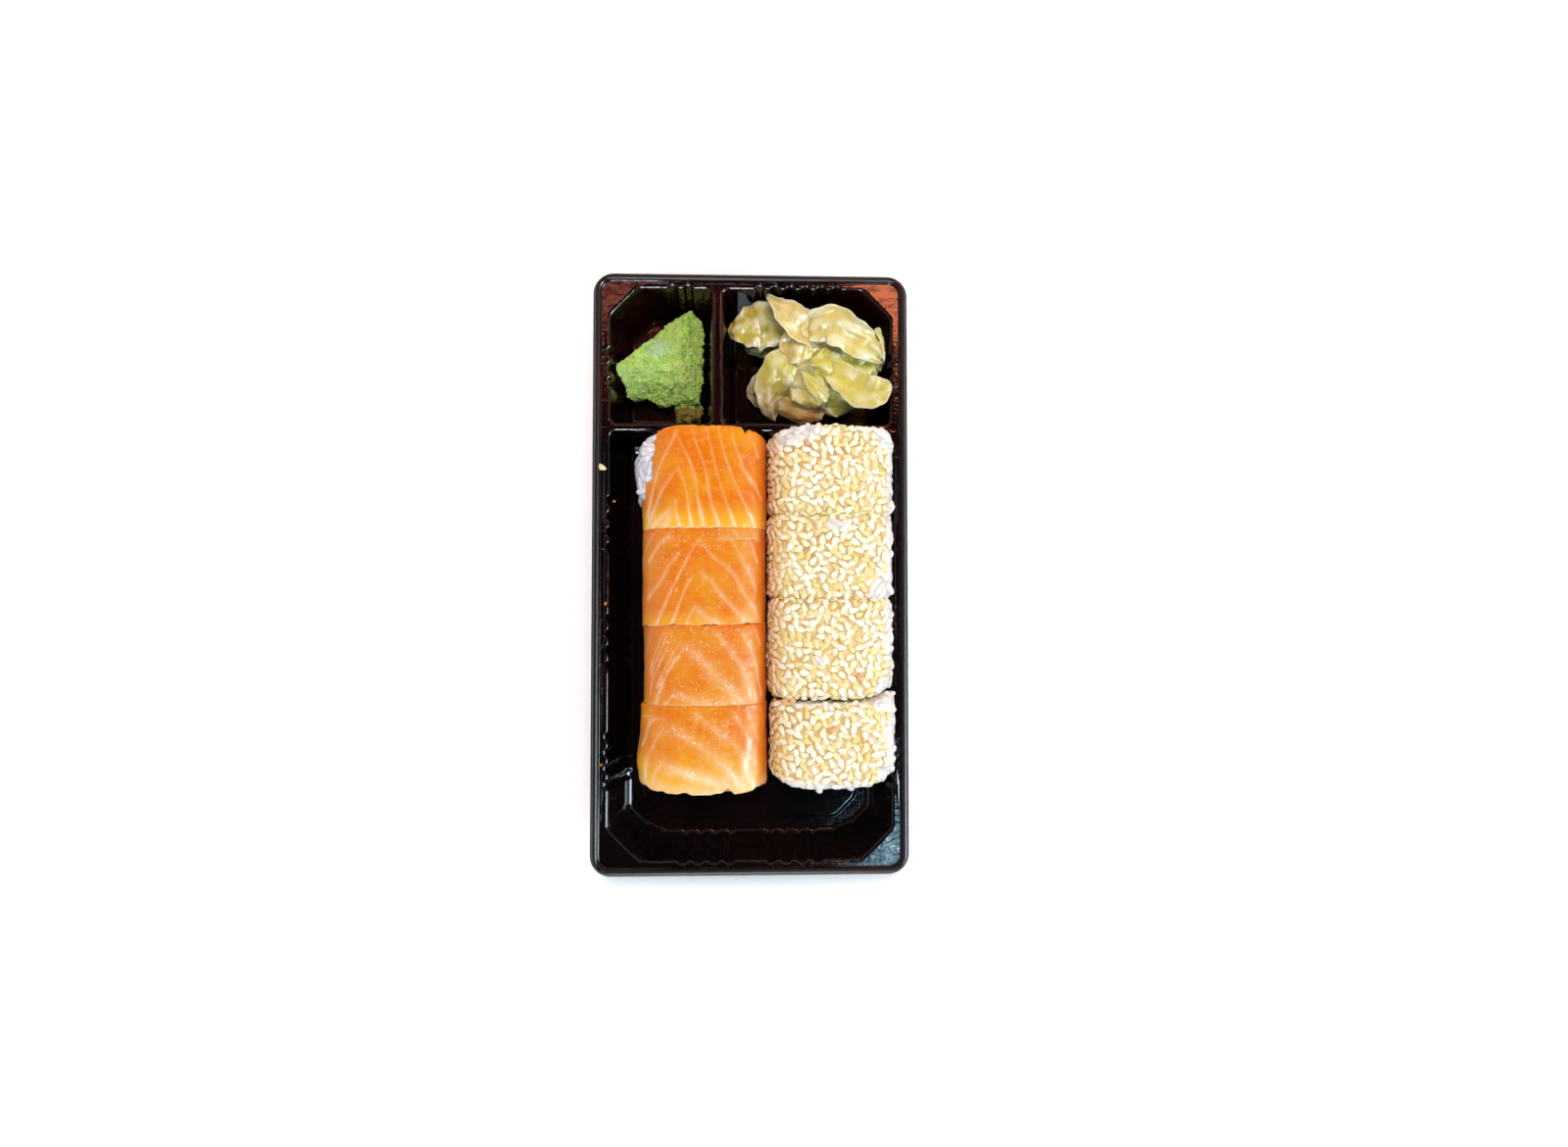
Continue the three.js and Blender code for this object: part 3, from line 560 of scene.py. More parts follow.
def cellLevels():
    # the skin of a cell from the land, round its edge, down the wall and round the foot: its
    # height, how far it lies out of the wall, and how much of a lug and of a flute shows there
    land, floor = tray['landTop'], tray['sheet']
    edge, foot = tray['edgeRadius'], tray['footRadius']
    levels = [{'z': land, 'out': edge + tray['edgeBand'], 'lug': 0.1, 'groove': 0.6}]
    for turn in np.linspace(0, math.pi / 2, 6):
        levels.append({'z': land - edge * (1 - math.cos(turn)), 'out': edge * (1 - math.sin(turn)),
                       'lug': 0.1 + 0.05 * turn})
    top, bottom = land - edge, floor + foot
    for k in range(1, 9):
        z = mix(top, bottom, k / 9)
        levels.append({'z': z, 'out': 0, 'lug': mix(0.2, 1, smooth(top, mix(top, bottom, 0.55), z))})
    for turn in np.linspace(0, math.pi / 2, 7):
        fade = 1 - 0.65 * (turn / (math.pi / 2))
        levels.append({'z': floor + foot * (1 - math.sin(turn)), 'out': -foot * (1 - math.cos(turn)),
                       'groove': fade, 'lug': 1 - 0.3 * turn})
    levels.append({'z': floor, 'out': -foot - tray['footBand'], 'groove': 0.3, 'lug': 0.5})
    return levels


def makeTray(material):
    skin = Skin()
    rim = [skin.loop(rimOutline(inset, z)) for inset, z in tray['bead']]
    skin.strips(rim)
    openings = []
    for cell in cells.values():
        loops = [skin.loop(cellOutline(cell, **level)) for level in cellLevels()]
        panel = [skin.loop(panelOutline(cell, margin, z)) for margin, z in tray['panel']]
        skin.strips(loops)
        skin.strips(panel)
        openings.append(loops[0])
        skin.flat(loops[-1], [panel[0]])
        skin.flat(panel[-1])
    skin.flat(rim[-1], openings)

    def onLand(face):                     # the largest face up here lies in the level land
        return face.calc_area() if face.calc_center_median().z > 20 * mm else 0

    mesh = outward(skin.mesh('tray_shell'), merged=False, top=onLand)
    piece = addPiece('tray_shell', mesh, material)
    solidify = piece.modifiers.new('sheet', 'SOLIDIFY')
    solidify.thickness = tray['sheet'] * mm
    solidify.offset = -1
    applied(piece)
    piece.data.set_sharp_from_angle(angle=math.radians(48))
    return piece


def trayMaterial():
    graph = Paint('black_sheet')
    place = graph.place()
    across, along, high = (graph.axis(place, name) for name in 'XYZ')
    grain = graph.noise(place, 0.8, 2)
    brown = graph.limits(graph.noise(place, 24, 2), 0.35, 0.7)
    # the plain colour is the sheet's own; towards the back it turns to a painted warm reflection
    plain, warm = (graph.blend(brown, *tray[name]) for name in ('plain', 'warm'))
    inset = [graph.math('ABSOLUTE', across) - tray['halfWidth'] * mm,
             graph.math('ABSOLUTE', along) - tray['halfLength'] * mm]
    bead = graph.limits(graph.math('MAXIMUM', *inset), -3 * mm, -2.4 * mm)
    level = graph.limits(high, 22.2 * mm, 22.5 * mm)  # the land and the bead are scratched
    scratches = graph.noise(graph.stretched(place, (0.8, 1.4, 1.0)), 3.2, 5, 0.9)
    relief = grain * (1 - level) * 0.04 + scratches * level
    waves = graph.bump(graph.noise(place, 5, 1), 0.1, 0.5)
    return graph.finished({
        'Base Color': graph.blend(graph.limits(along, *(y * mm for y in tray['warmth'])), plain, warm),
        'Roughness': 0.05 + 0.06 * graph.limits(grain, 0.3, 0.75) + 0.3 * bead,
        'Normal': graph.bump(relief, 0.2, 0.5, waves), 'Specular IOR Level': 0.35})


# Rolls

roll = {
    'foot': 2.0, 'squareness': 3.2, 'wallGap': 0.85, 'clearance': 0.3,
    'salmonMiddle': -14.6, 'sesameMiddle': 25.3, 'rowHalf': 19.7, 'bowPower': 3.5,
    'footIn': (2.2, 2), 'leanIn': 0.4, 'leanHeights': (-0.2, 1.8),
    'around': 120, 'stations': 22, 'capRings': (0.84, 0.62, 0.4, 0.18),
    # how far along from a cut, and how far the skin has come in there
    'roundEnds': [(0.0, 1.9), (0.25, 1.1), (0.8, 0.45), (1.8, 0.1), (3.0, 0.0)],
}
# back and front cut, left and right side, top, how far the back leans, how far the left and right
# corners of the back and of the front cut lie towards the back, and the bulge of the left side:
# how far, where along the piece and over what length
pieceKeys = ('back', 'front', 'left', 'right', 'top', 'backLean', 'backBow', 'frontBow', 'bulge')
salmonRow = [dict(zip(pieceKeys, row)) for row in (
    (44.9, 13.3, -34.1, 5.1, 31.4, 0.15, (-4.6, -2.2), (-0.8, -0.2), (1.9, 34, 9)),
    (13.3, -16.7, -34.3, 4.9, 31.1, 0, (-0.8, -0.2), (-0.4, 1.1), (0, 0, 1)),
    (-16.7, -41.2, -33.6, 5, 31.3, 0, (-0.4, 1.1), (0, 0.6), (0, 0, 1)),
    (-41.2, -68.2, -34.5, 5.2, 30.7, 0, (0, 0.6), (3, 2.4), (1.1, -60, 8)))]
sesameRow = [dict(zip(pieceKeys, row)) for row in (
    (45.6, 17.4, 5.6, 44.9, 31.4, 0.15, (-2.4, -1.6), (0.4, 0.8), (0, 0, 1)),
    (17.4, -8.9, 5.5, 44.8, 31.2, 0, (0.4, 0.8), (0.6, 1), (0, 0, 1)),
    (-8.9, -39.2, 5.7, 44.7, 31.4, 0, (0.6, 1), (0.9, 4.4), (0, 0, 1)),
    (-40.6, -66.9, 6.3, 45.6, 30.8, 0, (0.5, 4.4), (5.2, 5.2), (0, 0, 1)))]


def besideWall(piece):                    # the sesame rolls lean on the tray's right wall
    return piece['left'] > 0


def rollSection(piece):
    # the cross-section by the distance over it, clockwise from the top centre
    turn = np.linspace(0, 2 * math.pi, 721)
    power = 2 / roll['squareness']
    up = np.sign(np.cos(turn)) * np.abs(np.cos(turn)) ** power
    over = np.sign(np.sin(turn)) * np.abs(np.sin(turn)) ** power
    z = roll['foot'] + (piece['top'] - roll['foot']) / 2 * (1 + up)
    narrowing = (1 - np.clip(z / tray['landTop'], 0, 1)) ** 2
    left = piece['left'] + roll['footIn'][0] * narrowing
    right = piece['right'] - roll['footIn'][1] * narrowing
    if besideWall(piece):
        wall = cellWalls(cells['main'], z, roll['wallGap'])['right'] - roll['leanIn'] * narrowing
        low, high = (tray['landTop'] + rise for rise in roll['leanHeights'])
        right = mix(wall, piece['right'], smooth(low, high, z))
    middle = (piece['left'] + piece['right']) / 2
    x = middle + np.where(over < 0, over * (middle - left), over * (right - middle))
    lengths = np.concatenate([[0], np.cumsum(np.hypot(np.diff(x), np.diff(z)))])
    return {'x': x, 'z': z, 'lengths': lengths, 'girth': lengths[-1]}


def onSection(section, distance, depth=0.0):
    # the place at a signed distance over a section, sunk in by a depth
    def find(value):
        wanted = np.mod(value, section['girth'])
        return (np.interp(wanted, section['lengths'], section['x']),
                np.interp(wanted, section['lengths'], section['z']))
    x, z = find(distance)
    xBefore, zBefore = find(distance - 1)
    xAfter, zAfter = find(distance + 1)
    length = np.hypot(xAfter - xBefore, zAfter - zBefore)
    nx, nz = -(zAfter - zBefore) / length, (xAfter - xBefore) / length
    return x - nx * depth, z - nz * depth


def shapedPlace(piece, x, y, z):
    # a place once the cuts are bowed, the back face leans and the left side bulges
    middle = roll['sesameMiddle'] if besideWall(piece) else roll['salmonMiddle']
    across = np.clip((x - middle) / roll['rowHalf'], -1, 1)
    bow = np.abs(across) ** roll['bowPower']
    share = (y - piece['front']) / (piece['back'] - piece['front'])
    atFront = np.where(across < 0, *piece['frontBow']) * bow * (1 - share) ** 2
    atBack = np.where(across < 0, *piece['backBow']) * bow * share ** 2
    lean = piece['backLean'] * (piece['top'] - z) * share ** 3
    depth, at, half = piece['bulge']
    bulge = depth * hill(y - at, half) * np.maximum(0, -across)
    return np.stack([x - bulge, y + atFront + atBack - lean, z], -1)


def rollSurface(name, piece, depthAt, coverAt, capped=True):
    # a roll's skin: depthAt and coverAt take the signed distances from the top centre and y
    section = rollSection(piece)
    around, endLevels = roll['around'], roll['roundEnds']
    distances = np.arange(around) / around * section['girth']
    signed = np.where(distances > section['girth'] / 2, distances - section['girth'], distances)
    front = piece['front'] + roll['clearance'] / 2
    back = piece['back'] - roll['clearance'] / 2
    inner = np.linspace(front + endLevels[-1][0], back - endLevels[-1][0], roll['stations'])
    stations = [(front + along, inset) for along, inset in endLevels]
    stations += [(y, 0.0) for y in inner[1:-1]]
    stations += [(back - along, inset) for along, inset in reversed(endLevels)]
    skin = Skin()
    loops = []
    cover = []
    for y, inset in stations:
        x, z = onSection(section, distances, depthAt(signed, y) + inset)
        loops.append(skin.loop(shapedPlace(piece, x, y, z)))
        cover.append(coverAt(signed, y))
    skin.strips(loops)
    if capped:
        for k in (0, -1):
            ring = loops[k]
            outer = np.array([skin.points[i] for i in ring])
            centre = outer.mean(0)
            for share in roll['capRings']:
                inner = skin.loop(mix(centre, outer, share))
                cover.append(np.ones(around))
                skin.strip(ring, inner)
                ring = inner
            skin.fan(ring, centre)
            cover.append([1])
    mesh = skin.mesh(name)
    setValues(mesh, 'cover', np.concatenate(cover))
    outward(mesh, merged=False, top=lambda face: face.calc_center_median().z)
    return addPiece(name, mesh)


riceLook = {
    'size': (5.4, 2.6, 2.2),
    'scatter': {'spacing': 1.95, 'density': 0.46, 'lift': -0.35, 'sink': 0.55, 'tilt': 12,
                'sizes': (0.8, 1.08)},
    # how far the skin stands out where grains show, and where across the tray the painted cool shade at
    # the left gives way to painted warm light
    'bareDepth': -0.5, 'paintedCoolSpan': (-36, -14),
    'colours': {'paintedCoolShade': (214, 222, 238), 'warm': (243, 234, 222), 'cloud': (236, 226, 224),
                'deep': (204, 190, 186), 'pale': (250, 248, 246), 'beside': (224, 164, 92),
                'oil': ((216, 168, 80), (230, 202, 144))},
}


def riceMaterial():
    # the rice has painted cool shade at the left and painted warm light at the right, painted warm bounce
    # light in the valley beside the sesame rolls, painted shade on sunk grains, and painted golden shade
    # between the seeds
    graph = Paint('cooked_rice')
    look = riceLook['colours']
    place = graph.place()
    across = graph.axis(place, 'X')
    cloud = graph.noise(place, 11, 2)
    fine = graph.noise(place, 1.1, 3)
    coolness = graph.limits(across, *(x * mm for x in riceLook['paintedCoolSpan']))
    # painted orange bounce light in the shaded valley at the left foot of the sesame rolls
    beside = graph.limits(across, 10.5 * mm, 6.5 * mm) * graph.limits(across, 5.1 * mm, 5.5 * mm)
    # the deep colour is painted shade on the deeper-sunk grains
    own = graph.layered(
        graph.blend(coolness, look['paintedCoolShade'], look['warm']),
        (0.35 * graph.limits(cloud, 0.38, 0.66), look['cloud']),
        (0.4 * graph.limits(graph.attribute('shade'), 0.35, 1.0), look['deep']),
        (0.4 * graph.limits(fine, 0.55, 0.8), look['pale']),
        (0.6 * beside, look['beside']))
    # painted golden shade where the seeds cover the rice
    oil = graph.blend(graph.limits(cloud, 0.4, 0.6), *look['oil'])
    oiled = graph.limits(graph.attribute('cover'), 0.9, 0.3)
    return graph.finished({
        'Base Color': graph.blend(0.85 * oiled, own, oil), 'Roughness': 0.3 + 0.22 * fine,
        'Normal': graph.bump(fine, 0.12, 0.5), 'Specular IOR Level': 0.45},
        soft=(0.45, 1.6, (1.0, 0.85, 0.75)))


# Salmon

salmonLook = {
    'thickness': 2.2, 'reach': 38, 'lineGap': 4.4, 'broad': 0.6,
    # the first slice's left edge: its reach at the back, its reach below the step, and where along
    # the tray the step is and the full width starts
    'cutBack': {'reach': 14.9, 'below': 19.3, 'step': 28.3, 'full': 21.5},
    # fat lines of each slice: half the line's width, then its points in millimetres from the
    # slice's left and back edges
    'lines': [
        [
            [0.3, (3.6, 5.6), (2.6, 10), (1.4, 15)],
            [0.42, (11.5, 1.5), (7.7, 11), (4.6, 18), (0.8, 27.3)],
            [0.36, (11.6, 3), (15, 9.6), (17, 15.8), (18.1, 24.2), (19.7, 31.2)],
            [0.3, (15.4, 0), (18.1, 7.7), (20.1, 13.8), (21.6, 22.7), (24.3, 31)],
            [0.28, (20.3, 0), (22, 8.1), (24.6, 18), (27.3, 25.8), (29.3, 31.2)],
            [0.28, (23.9, 0), (25.4, 7.3), (28.1, 15), (31.6, 22.7), (35.8, 31.2)],
            [0.34, (28.1, 0), (28.9, 5), (32, 12.7), (34.6, 16.5), (38.6, 22.3)],
            [0.4, (30.6, 11.5), (32, 14), (34.6, 17)],
            [0.3, (35.2, 3.8), (37, 8.5)],
            [0.45, (12, 13.6), (7, 20), (1.2, 30.4)],
            [0.3, (12.3, 12.8), (14.3, 19.6), (15.1, 26.5), (16, 31.2)],
            [1.1, (9.6, 25.5), (6.4, 28.4), (2.6, 31.4)],
            [1.3, (9.4, 27.6), (8.4, 29.6), (7.6, 31.6)],
            [0.4, (11, 22.6), (11.2, 27), (12.4, 31.4)],
            [0.6, (4.5, 28), (2.4, 30.5), (0.6, 31.5)],
        ],
        [
            [0.5, (10.4, 1), (6, 5), (2.1, 10.2)],
            [0.7, (12.5, 7.3), (9.8, 10.8), (6.8, 15.8), (1.7, 21.5)],
            [0.45, (18.3, 3.8), (15.6, 8.1), (12.2, 14.6), (8.3, 22.7), (4.8, 30)],
            [0.4, (16.8, 14.6), (14.1, 18.8), (12, 24.5), (10, 30)],
            [0.45, (17.2, 24.2), (15.4, 27.5), (14.3, 30)],
            [0.7, (18.9, 4), (22.2, 8.5), (28.4, 13.5), (31.5, 18.8), (34.6, 23.8), (37.6, 28.6)],
            [0.8, (29.2, 5), (32.2, 10.8), (35.3, 16.2), (36.5, 19.6)],
            [0.4, (34.6, 4.6), (36.9, 10.4)],
            [1.1, (18.6, 13.9), (22.5, 17), (26, 21.5), (30, 26), (33.3, 29.5)],
            [1.8, (17, 24.3), (20.8, 27.6), (24.7, 29.7)],
            [0.9, (3.5, 7.4), (6.2, 4.6), (9, 3.2)],
        ],
        [
            [0.5, (13.1, 6.8), (10.7, 10.3), (8.1, 14.4), (5.8, 19.1), (4, 23.8)],
            [1.7, (13.1, 6.8), (17, 9.1), (20.5, 12.6), (23.4, 16.2), (26.4, 19.1), (29.9, 23.8)],
            [1.1, (22.8, 1.8), (24.6, 4.4), (27.5, 7.9), (30.5, 12), (32.8, 16.8), (35.2, 23.2)],
            [0.5, (29.9, 1.2), (32.2, 4.4), (34.6, 9.7), (36.4, 15), (38.1, 21.5)],
            [0.35, (34.6, 0.4), (37.5, 6.2)],
            [0.28, (6.6, 2.6), (4, 8), (1.6, 13.8)],
            [0.28, (9.6, 3.2), (5.8, 10.9), (2.8, 16.8), (1.4, 21.5)],
            [0.24, (8, 3), (5, 9), (2, 15.6)],
            [0.24, (11.2, 6), (7.6, 12.6), (4.4, 19)],
            [0.4, (10.7, 20.6), (8.7, 22.6), (6.9, 24.7)],
            [1.6, (10.7, 20.6), (14, 22.1), (18.1, 23.8), (26, 24.6)],
        ],
        [
            [0.6, (8.4, 6), (5.8, 9.9), (4, 14.6), (2.5, 19.3), (1.7, 24)],
            [1.6, (8.4, 6), (12.3, 8.4), (16.4, 10.5), (20.5, 13.4), (24.6, 16.4), (27.5, 19.9),
             (30.4, 23.4), (32.2, 25.6)],
            [1.2, (18.1, 2.8), (21.7, 5.8), (25.2, 8.7), (28.7, 11), (31.6, 14.6), (33.4, 19.3),
             (34.6, 24)],
            [0.6, (28.7, 1.6), (31, 4.6), (33.4, 9.3), (35.1, 14), (36.3, 18.7)],
            [0.4, (33.4, 1.6), (35.7, 6.9), (37.5, 11)],
            [0.5, (7.8, 4.2), (4, 4.5), (2.2, 7.8), (0.2, 12.8)],
            [0.6, (8.1, 17.5), (5.8, 21), (4.6, 25)],
            [1.9, (8.1, 17.5), (11.1, 19.3), (15.2, 20.7), (19.3, 22.2), (22.8, 23.4), (26.3, 24.5)],
            [0.9, (9, 26.8), (14, 26.6), (19, 27.2), (24, 27)],
        ],
    ],
    # how much painted light makes the flesh paler towards the front cut, and how far the pale part reaches
    'paintedFrontLight': [(0.95, 10), (0.55, 6), (0.3, 7), (1.0, 17)],
    # how much painted pinkish shade the flesh takes down the left side
    'pink': [0.6, 0.75, 0.8, 0.4],
    # how strongly painted sparkle highlights show on the bands, and the thin flap that hangs over the
    # second slice
    'wet': [0.25, 0.7, 1.0, 0.9],
    # how much the edges fall, the fat sinks and the flesh swells, broadly and finely
    'relief': {'edge': 0.4, 'fat': 0.08, 'swell': 0.22, 'fine': 0.06, 'rounding': 0.9},
    'flap': {'index': 1, 'left': 23.6, 'reach': 4.3, 'lift': 0.55,
             'lines': [[0.34, (27.4, -1), (29.4, 1.6), (31.9, 4.4)],
                       [0.3, (33.6, -1), (34.9, 1.4), (36.6, 4.2)]]},
    # the pale colour and the paler line colour are painted light at the front cut, the pink colours and
    # the dark side colour painted shade, and the whitest colour a painted sparkle highlight
    'colours': {'flesh': ((214, 111, 2), (217, 140, 14)), 'streak': (224, 158, 56),
                'fibre': (224, 166, 76), 'pink': (204, 122, 60), 'pale': (234, 182, 50),
                'lines': ((228, 184, 130), (238, 222, 186)), 'pinkLines': (220, 168, 138),
                'dusk': (206, 84, 8), 'glitter': (252, 238, 224)},
}


def distanceToLine(across, along, line):
    best = np.full(across.shape, 1e9)
    share = np.zeros(across.shape)
    for k, (a, b) in enumerate(zip(line, line[1:])):
        way = b - a
        t = np.clip(((across - a[0]) * way[0] + (along - a[1]) * way[1]) / max(1e-9, way @ way), 0, 1)
        gap = np.hypot(across - a[0] - t * way[0], along - a[1] - t * way[1])
        share = np.where(gap < best, (k + t) / (len(line) - 1), share)
        best = np.minimum(best, gap)
    return best, share


def fatPattern(index, across, along):
    # 0 in the flesh to 1 on a fat line: across runs from the left edge, along from the back
    lines = [(entry[0], curvePoints(entry[1:], 16)) for entry in salmonLook['lines'][index]]
    ordered = sorted((line for _, line in lines), key=lambda line: line[:, 0].mean())
    leftmost, rightmost = ordered[0], ordered[-1]
    for k in range(1, 6):                 # the pattern goes on down both sides
        shift = k * salmonLook['lineGap']
        lines.append((0.3, leftmost * (1, 1.3) + (-shift, -2)))
        lines.append((0.3, rightmost * (1, 1.6) + (shift, -4)))
    fat = np.zeros(across.shape)
    flare = 0.9 if index == 0 else 0.25
    for number, (half, line) in enumerate(lines):
        wander = 0.1 * np.sin(along * 0.5 + number * 2.1) * min(1, half)
        gap, share = distanceToLine(across + wander, along, line)
        ends = 0.45 + 0.35 * smooth(0, 0.3, share) + 0.35 * smooth(0.5, 1, share)
        width = half * (0.7 + 0.35 * np.sin(share * 7 + number) ** 2 + flare * smooth(0.55, 1, share))
        broad = half >= salmonLook['broad']
        if index > 1:                     # the last two pieces have wider, softer bands
            width = width * (1.5 if broad else 1.3)
        crest = hill(gap, width) * (0.62 if broad else 1)
        core = 0.3 * hill(gap, 0.35 * width) if broad else 0
        fat = np.maximum(fat, ends * (crest + core))
    return fat


def salmonEdges(index, across):
    # how far the front and back cuts wander from straight, by the place across the slice
    front = 0.35 * np.sin(across * 0.55 + index * 2) + 0.15 * np.sin(across * 1.9 + index)
    back = 0.2 * np.sin(across * 0.4 + index * 3)
    if index == 0:                        # a nick near the right of the back cut
        back = back + 1.6 * hill(across - 32.6, 0.8) + 0.12 * np.sin(across * 2.2)
        front = 0.12 * np.sin(across * 1.7)
    if index == 3:                        # the front end hangs down in lobes
        front = 0.5 * np.sin(across * 0.5 + 0.9) + 0.2 * np.sin(across * 1.4)
        front = front + 1.2 * hill(across - 7.6, 1.4) + 1.1 * hill(across - 27.5, 1.3)
    if index == 2:                        # the last two pieces lie close together
        front = 0 * across
    return np.maximum(front, -0.1) + 0.1, np.maximum(back, 0) * (index < 3) + 0.1


def salmonReach(index, y):
    # how far a slice hangs down on the left: the first is cut back in two steps
    reach, cut = salmonLook['reach'], salmonLook['cutBack']
    if index:
        return reach
    ragged = 0.4 * np.sin(y * 1.1)
    reach = mix(reach, cut['below'] + ragged, smooth(cut['full'] - 1, cut['full'] + 2, y))
    return mix(reach, cut['reach'] + ragged, smooth(cut['step'] - 0.6, cut['step'] + 0.6, y))


def salmonRice(piece, index):
    # the rice under a slice is pressed in and bare of grains, beside it they stand up
    reach = salmonLook['reach']

    def covered(signed, y, left, right):
        edge = salmonReach(index, np.full(signed.shape, y))
        return smooth(-edge + left[0], -edge + left[1], signed) * (1 - smooth(*right, signed))

    def depth(signed, y):
        share = covered(signed, y, (-1.5, 1), (reach - 1, reach + 1.5))
        return mix(riceLook['bareDepth'], salmonLook['thickness'] + 0.25, share)

    def cover(signed, y):
        return 1 - covered(signed, y, (-0.6, 0.4), (reach - 0.5, reach + 0.5))
    return depth, cover


def salmonMesh(name, piece, index, across=200, along=84):
    section = rollSection(piece)
    middle = (piece['right'] - piece['left']) / 2
    reach = salmonLook['reach']
    share = np.linspace(0, 1, across + 1)[:, None]
    run = np.linspace(0, 1, along + 1)[None, :]
    wanderFront, wanderBack = salmonEdges(index, middle + mix(-reach, reach, share))
    front = piece['front'] + wanderFront - 0.25
    back = piece['back'] - wanderBack + 0.25
    y = mix(front, back, run)
    left = salmonReach(index, y)
    distance = np.maximum(mix(-reach, reach, share), -left) + 0 * y
    fromLeft, fromBack = distance + middle, piece['back'] - y
    fat = fatPattern(index, fromLeft, fromBack)
    flap = 0 * y
    hang = salmonLook['flap']
    if index == hang['index']:            # a torn edge of the slice behind lies over this one
        hem = hang['reach'] - 0.5 * np.abs(np.sin((fromLeft - hang['left']) * 0.66))
        inside = smooth(hang['left'] - 0.3, hang['left'] + 1.2, fromLeft)
        inside = inside * (1 - smooth(37.2, 38.6, fromLeft))
        flap = inside * (1 - smooth(hem - 0.45, hem, fromBack))
        # the hem of the flap takes a painted highlight along it
        rim = inside * hill(fromBack - hem + 0.5, 0.45)
        torn = 0.22 + 0.3 * rim
        for entry in hang['lines']:
            gap, _ = distanceToLine(fromLeft, fromBack, curvePoints(entry[1:], 12))
            torn = np.maximum(torn, 0.95 * hill(gap, entry[0]))
        fat = mix(fat, torn, flap)
    frontEase, backEase = (2 if index == 2 else 1), (2 if index == 3 else 1)
    cuts = np.minimum((y - front) * frontEase, (back - y) * backEase)
    border = np.minimum(cuts, np.minimum(distance + left, reach - distance))
    relief = salmonLook['relief']
    rounding = 1 - np.sqrt(1 - (1 - np.clip(border / relief['rounding'], 0, 1)) ** 2)
    flat = np.stack([distance.ravel(), y.ravel(), np.zeros(y.size)], 1)
    swell = roughAt(flat, 7, 2, index * 5).reshape(y.shape)
    fine = roughAt(flat, 1.6, 2, index * 3 + 1).reshape(y.shape)
    top = relief['edge'] * rounding + relief['fat'] * fat - relief['swell'] * swell
    top = top - relief['fine'] * fine - hang['lift'] * flap
    under = salmonLook['thickness'] - 0.5 * rounding * (border < 1.5)
    skin = Skin()
    layers = []
    for depth in (top, under):
        x, z = onSection(section, distance, depth)
        place = shapedPlace(piece, x, y, z)
        layers.append([skin.loop(place[i]) for i in range(across + 1)])
    skin.sheet(layers)
    mesh = skin.mesh(name)
    # painted light makes the flesh and its fat lines paler towards the front cut
    glow, length = salmonLook['paintedFrontLight'][index]
    paleFront = glow * (1 - smooth(0, length, y - front)) + 0 * distance
    # a painted highlight along the lit front cut, partly the whitish fat there, broader on the last slice;
    # it is stored with the fat
    edge = (0.9 if index == 3 else 0.55) * (1 - smooth(0, 0.9, y - front))
    if index == 3:
        edge = np.maximum(edge, 0.55 * (1 - smooth(0.5, 5, y - front)))
    between = index in (1, 2)             # the two slices with a neighbour on both sides
    # painted pinkish shade down the left side, and a little over the middle two slices
    pink = np.maximum(smooth(4, 18, -distance), 0.25 * between) * salmonLook['pink'][index]
    # painted shade down the right side, where it turns down beside the sesame rolls, and along the back
    # cut of the middle two slices
    dusk = smooth(15.5, 20, distance) + 0.8 * between * hill(fromBack, 1.6)
    # where painted sparkle highlights show on the fat bands
    wet = salmonLook['wet'][index] * (0.3 + 0.7 * smooth(0.2, 0.6, fat))
    wet = wet * (1 - smooth(10, 18, np.abs(distance)))
    values = {'fat': np.maximum(fat, edge), 'pale': paleFront, 'pink': pink,
              'dusk': np.clip(dusk * (1 - flap), 0, 1), 'wet': wet}
    for kind, value in values.items():
        setValues(mesh, kind, np.tile(value.ravel(), 2))
    return outward(mesh)


def salmonMaterial():
    graph = Paint('raw_salmon')
    look = salmonLook['colours']
    place = graph.place()
    names = ('fat', 'pale', 'pink', 'wet', 'dusk')
    fat, pale, pink, wet, dusk = (graph.attribute(name) for name in names)
    cloud = graph.noise(place, 9, 3)
    streak = graph.noise(graph.stretched(place, (1.0, 0.35, 1.0)), 2.2, 3, 0.5)
    fibre = graph.noise(graph.stretched(place, (0.3, 1.0, 1.0)), 1.0, 2)
    fine = graph.noise(place, 0.55, 2)
    # the flesh takes painted pinkish shade down the left side and painted light towards the front cut
    flesh = graph.layered(
        graph.blend(graph.limits(cloud, 0.35, 0.68), *look['flesh']),
        (0.4 * graph.limits(streak, 0.5, 0.75), look['streak']),
        (0.3 * graph.limits(fibre, 0.5, 0.72), look['fibre']),
        (0.75 * pink, look['pink']), (0.85 * pale, look['pale']))
    # the fat lines are paler with painted front light and pinker with painted side shade
    lines = graph.layered(
        graph.blend(graph.limits(pale, 0.2, 0.8), *look['lines']), (0.6 * pink, look['pinkLines']))
    # white dots of painted sparkle highlight
    speckle = graph.limits(graph.noise(place, 0.6, 1), 0.6, 0.68)
    glitter = speckle * graph.limits(graph.noise(place, 3.2, 2), 0.42, 0.55)
    colour = graph.layered(
        graph.blend(fat * (0.5 + 0.42 * graph.limits(streak, 0.3, 0.7)), flesh, lines),
        (0.55 * dusk, look['dusk']), (wet * glitter, look['glitter']))
    return graph.finished({
        'Base Color': colour, 'Roughness': 0.26 + 0.2 * cloud,
        'Coat Weight': 0.35 * graph.limits(streak, 0.5, 0.68), 'Coat Roughness': 0.12,
        'Normal': graph.bump(0.5 * streak + 0.35 * fine, 0.3, 0.5), 'Specular IOR Level': 0.15},
        soft=(0.22, 1.6, (1.0, 0.45, 0.2)))


# Sesame rolls

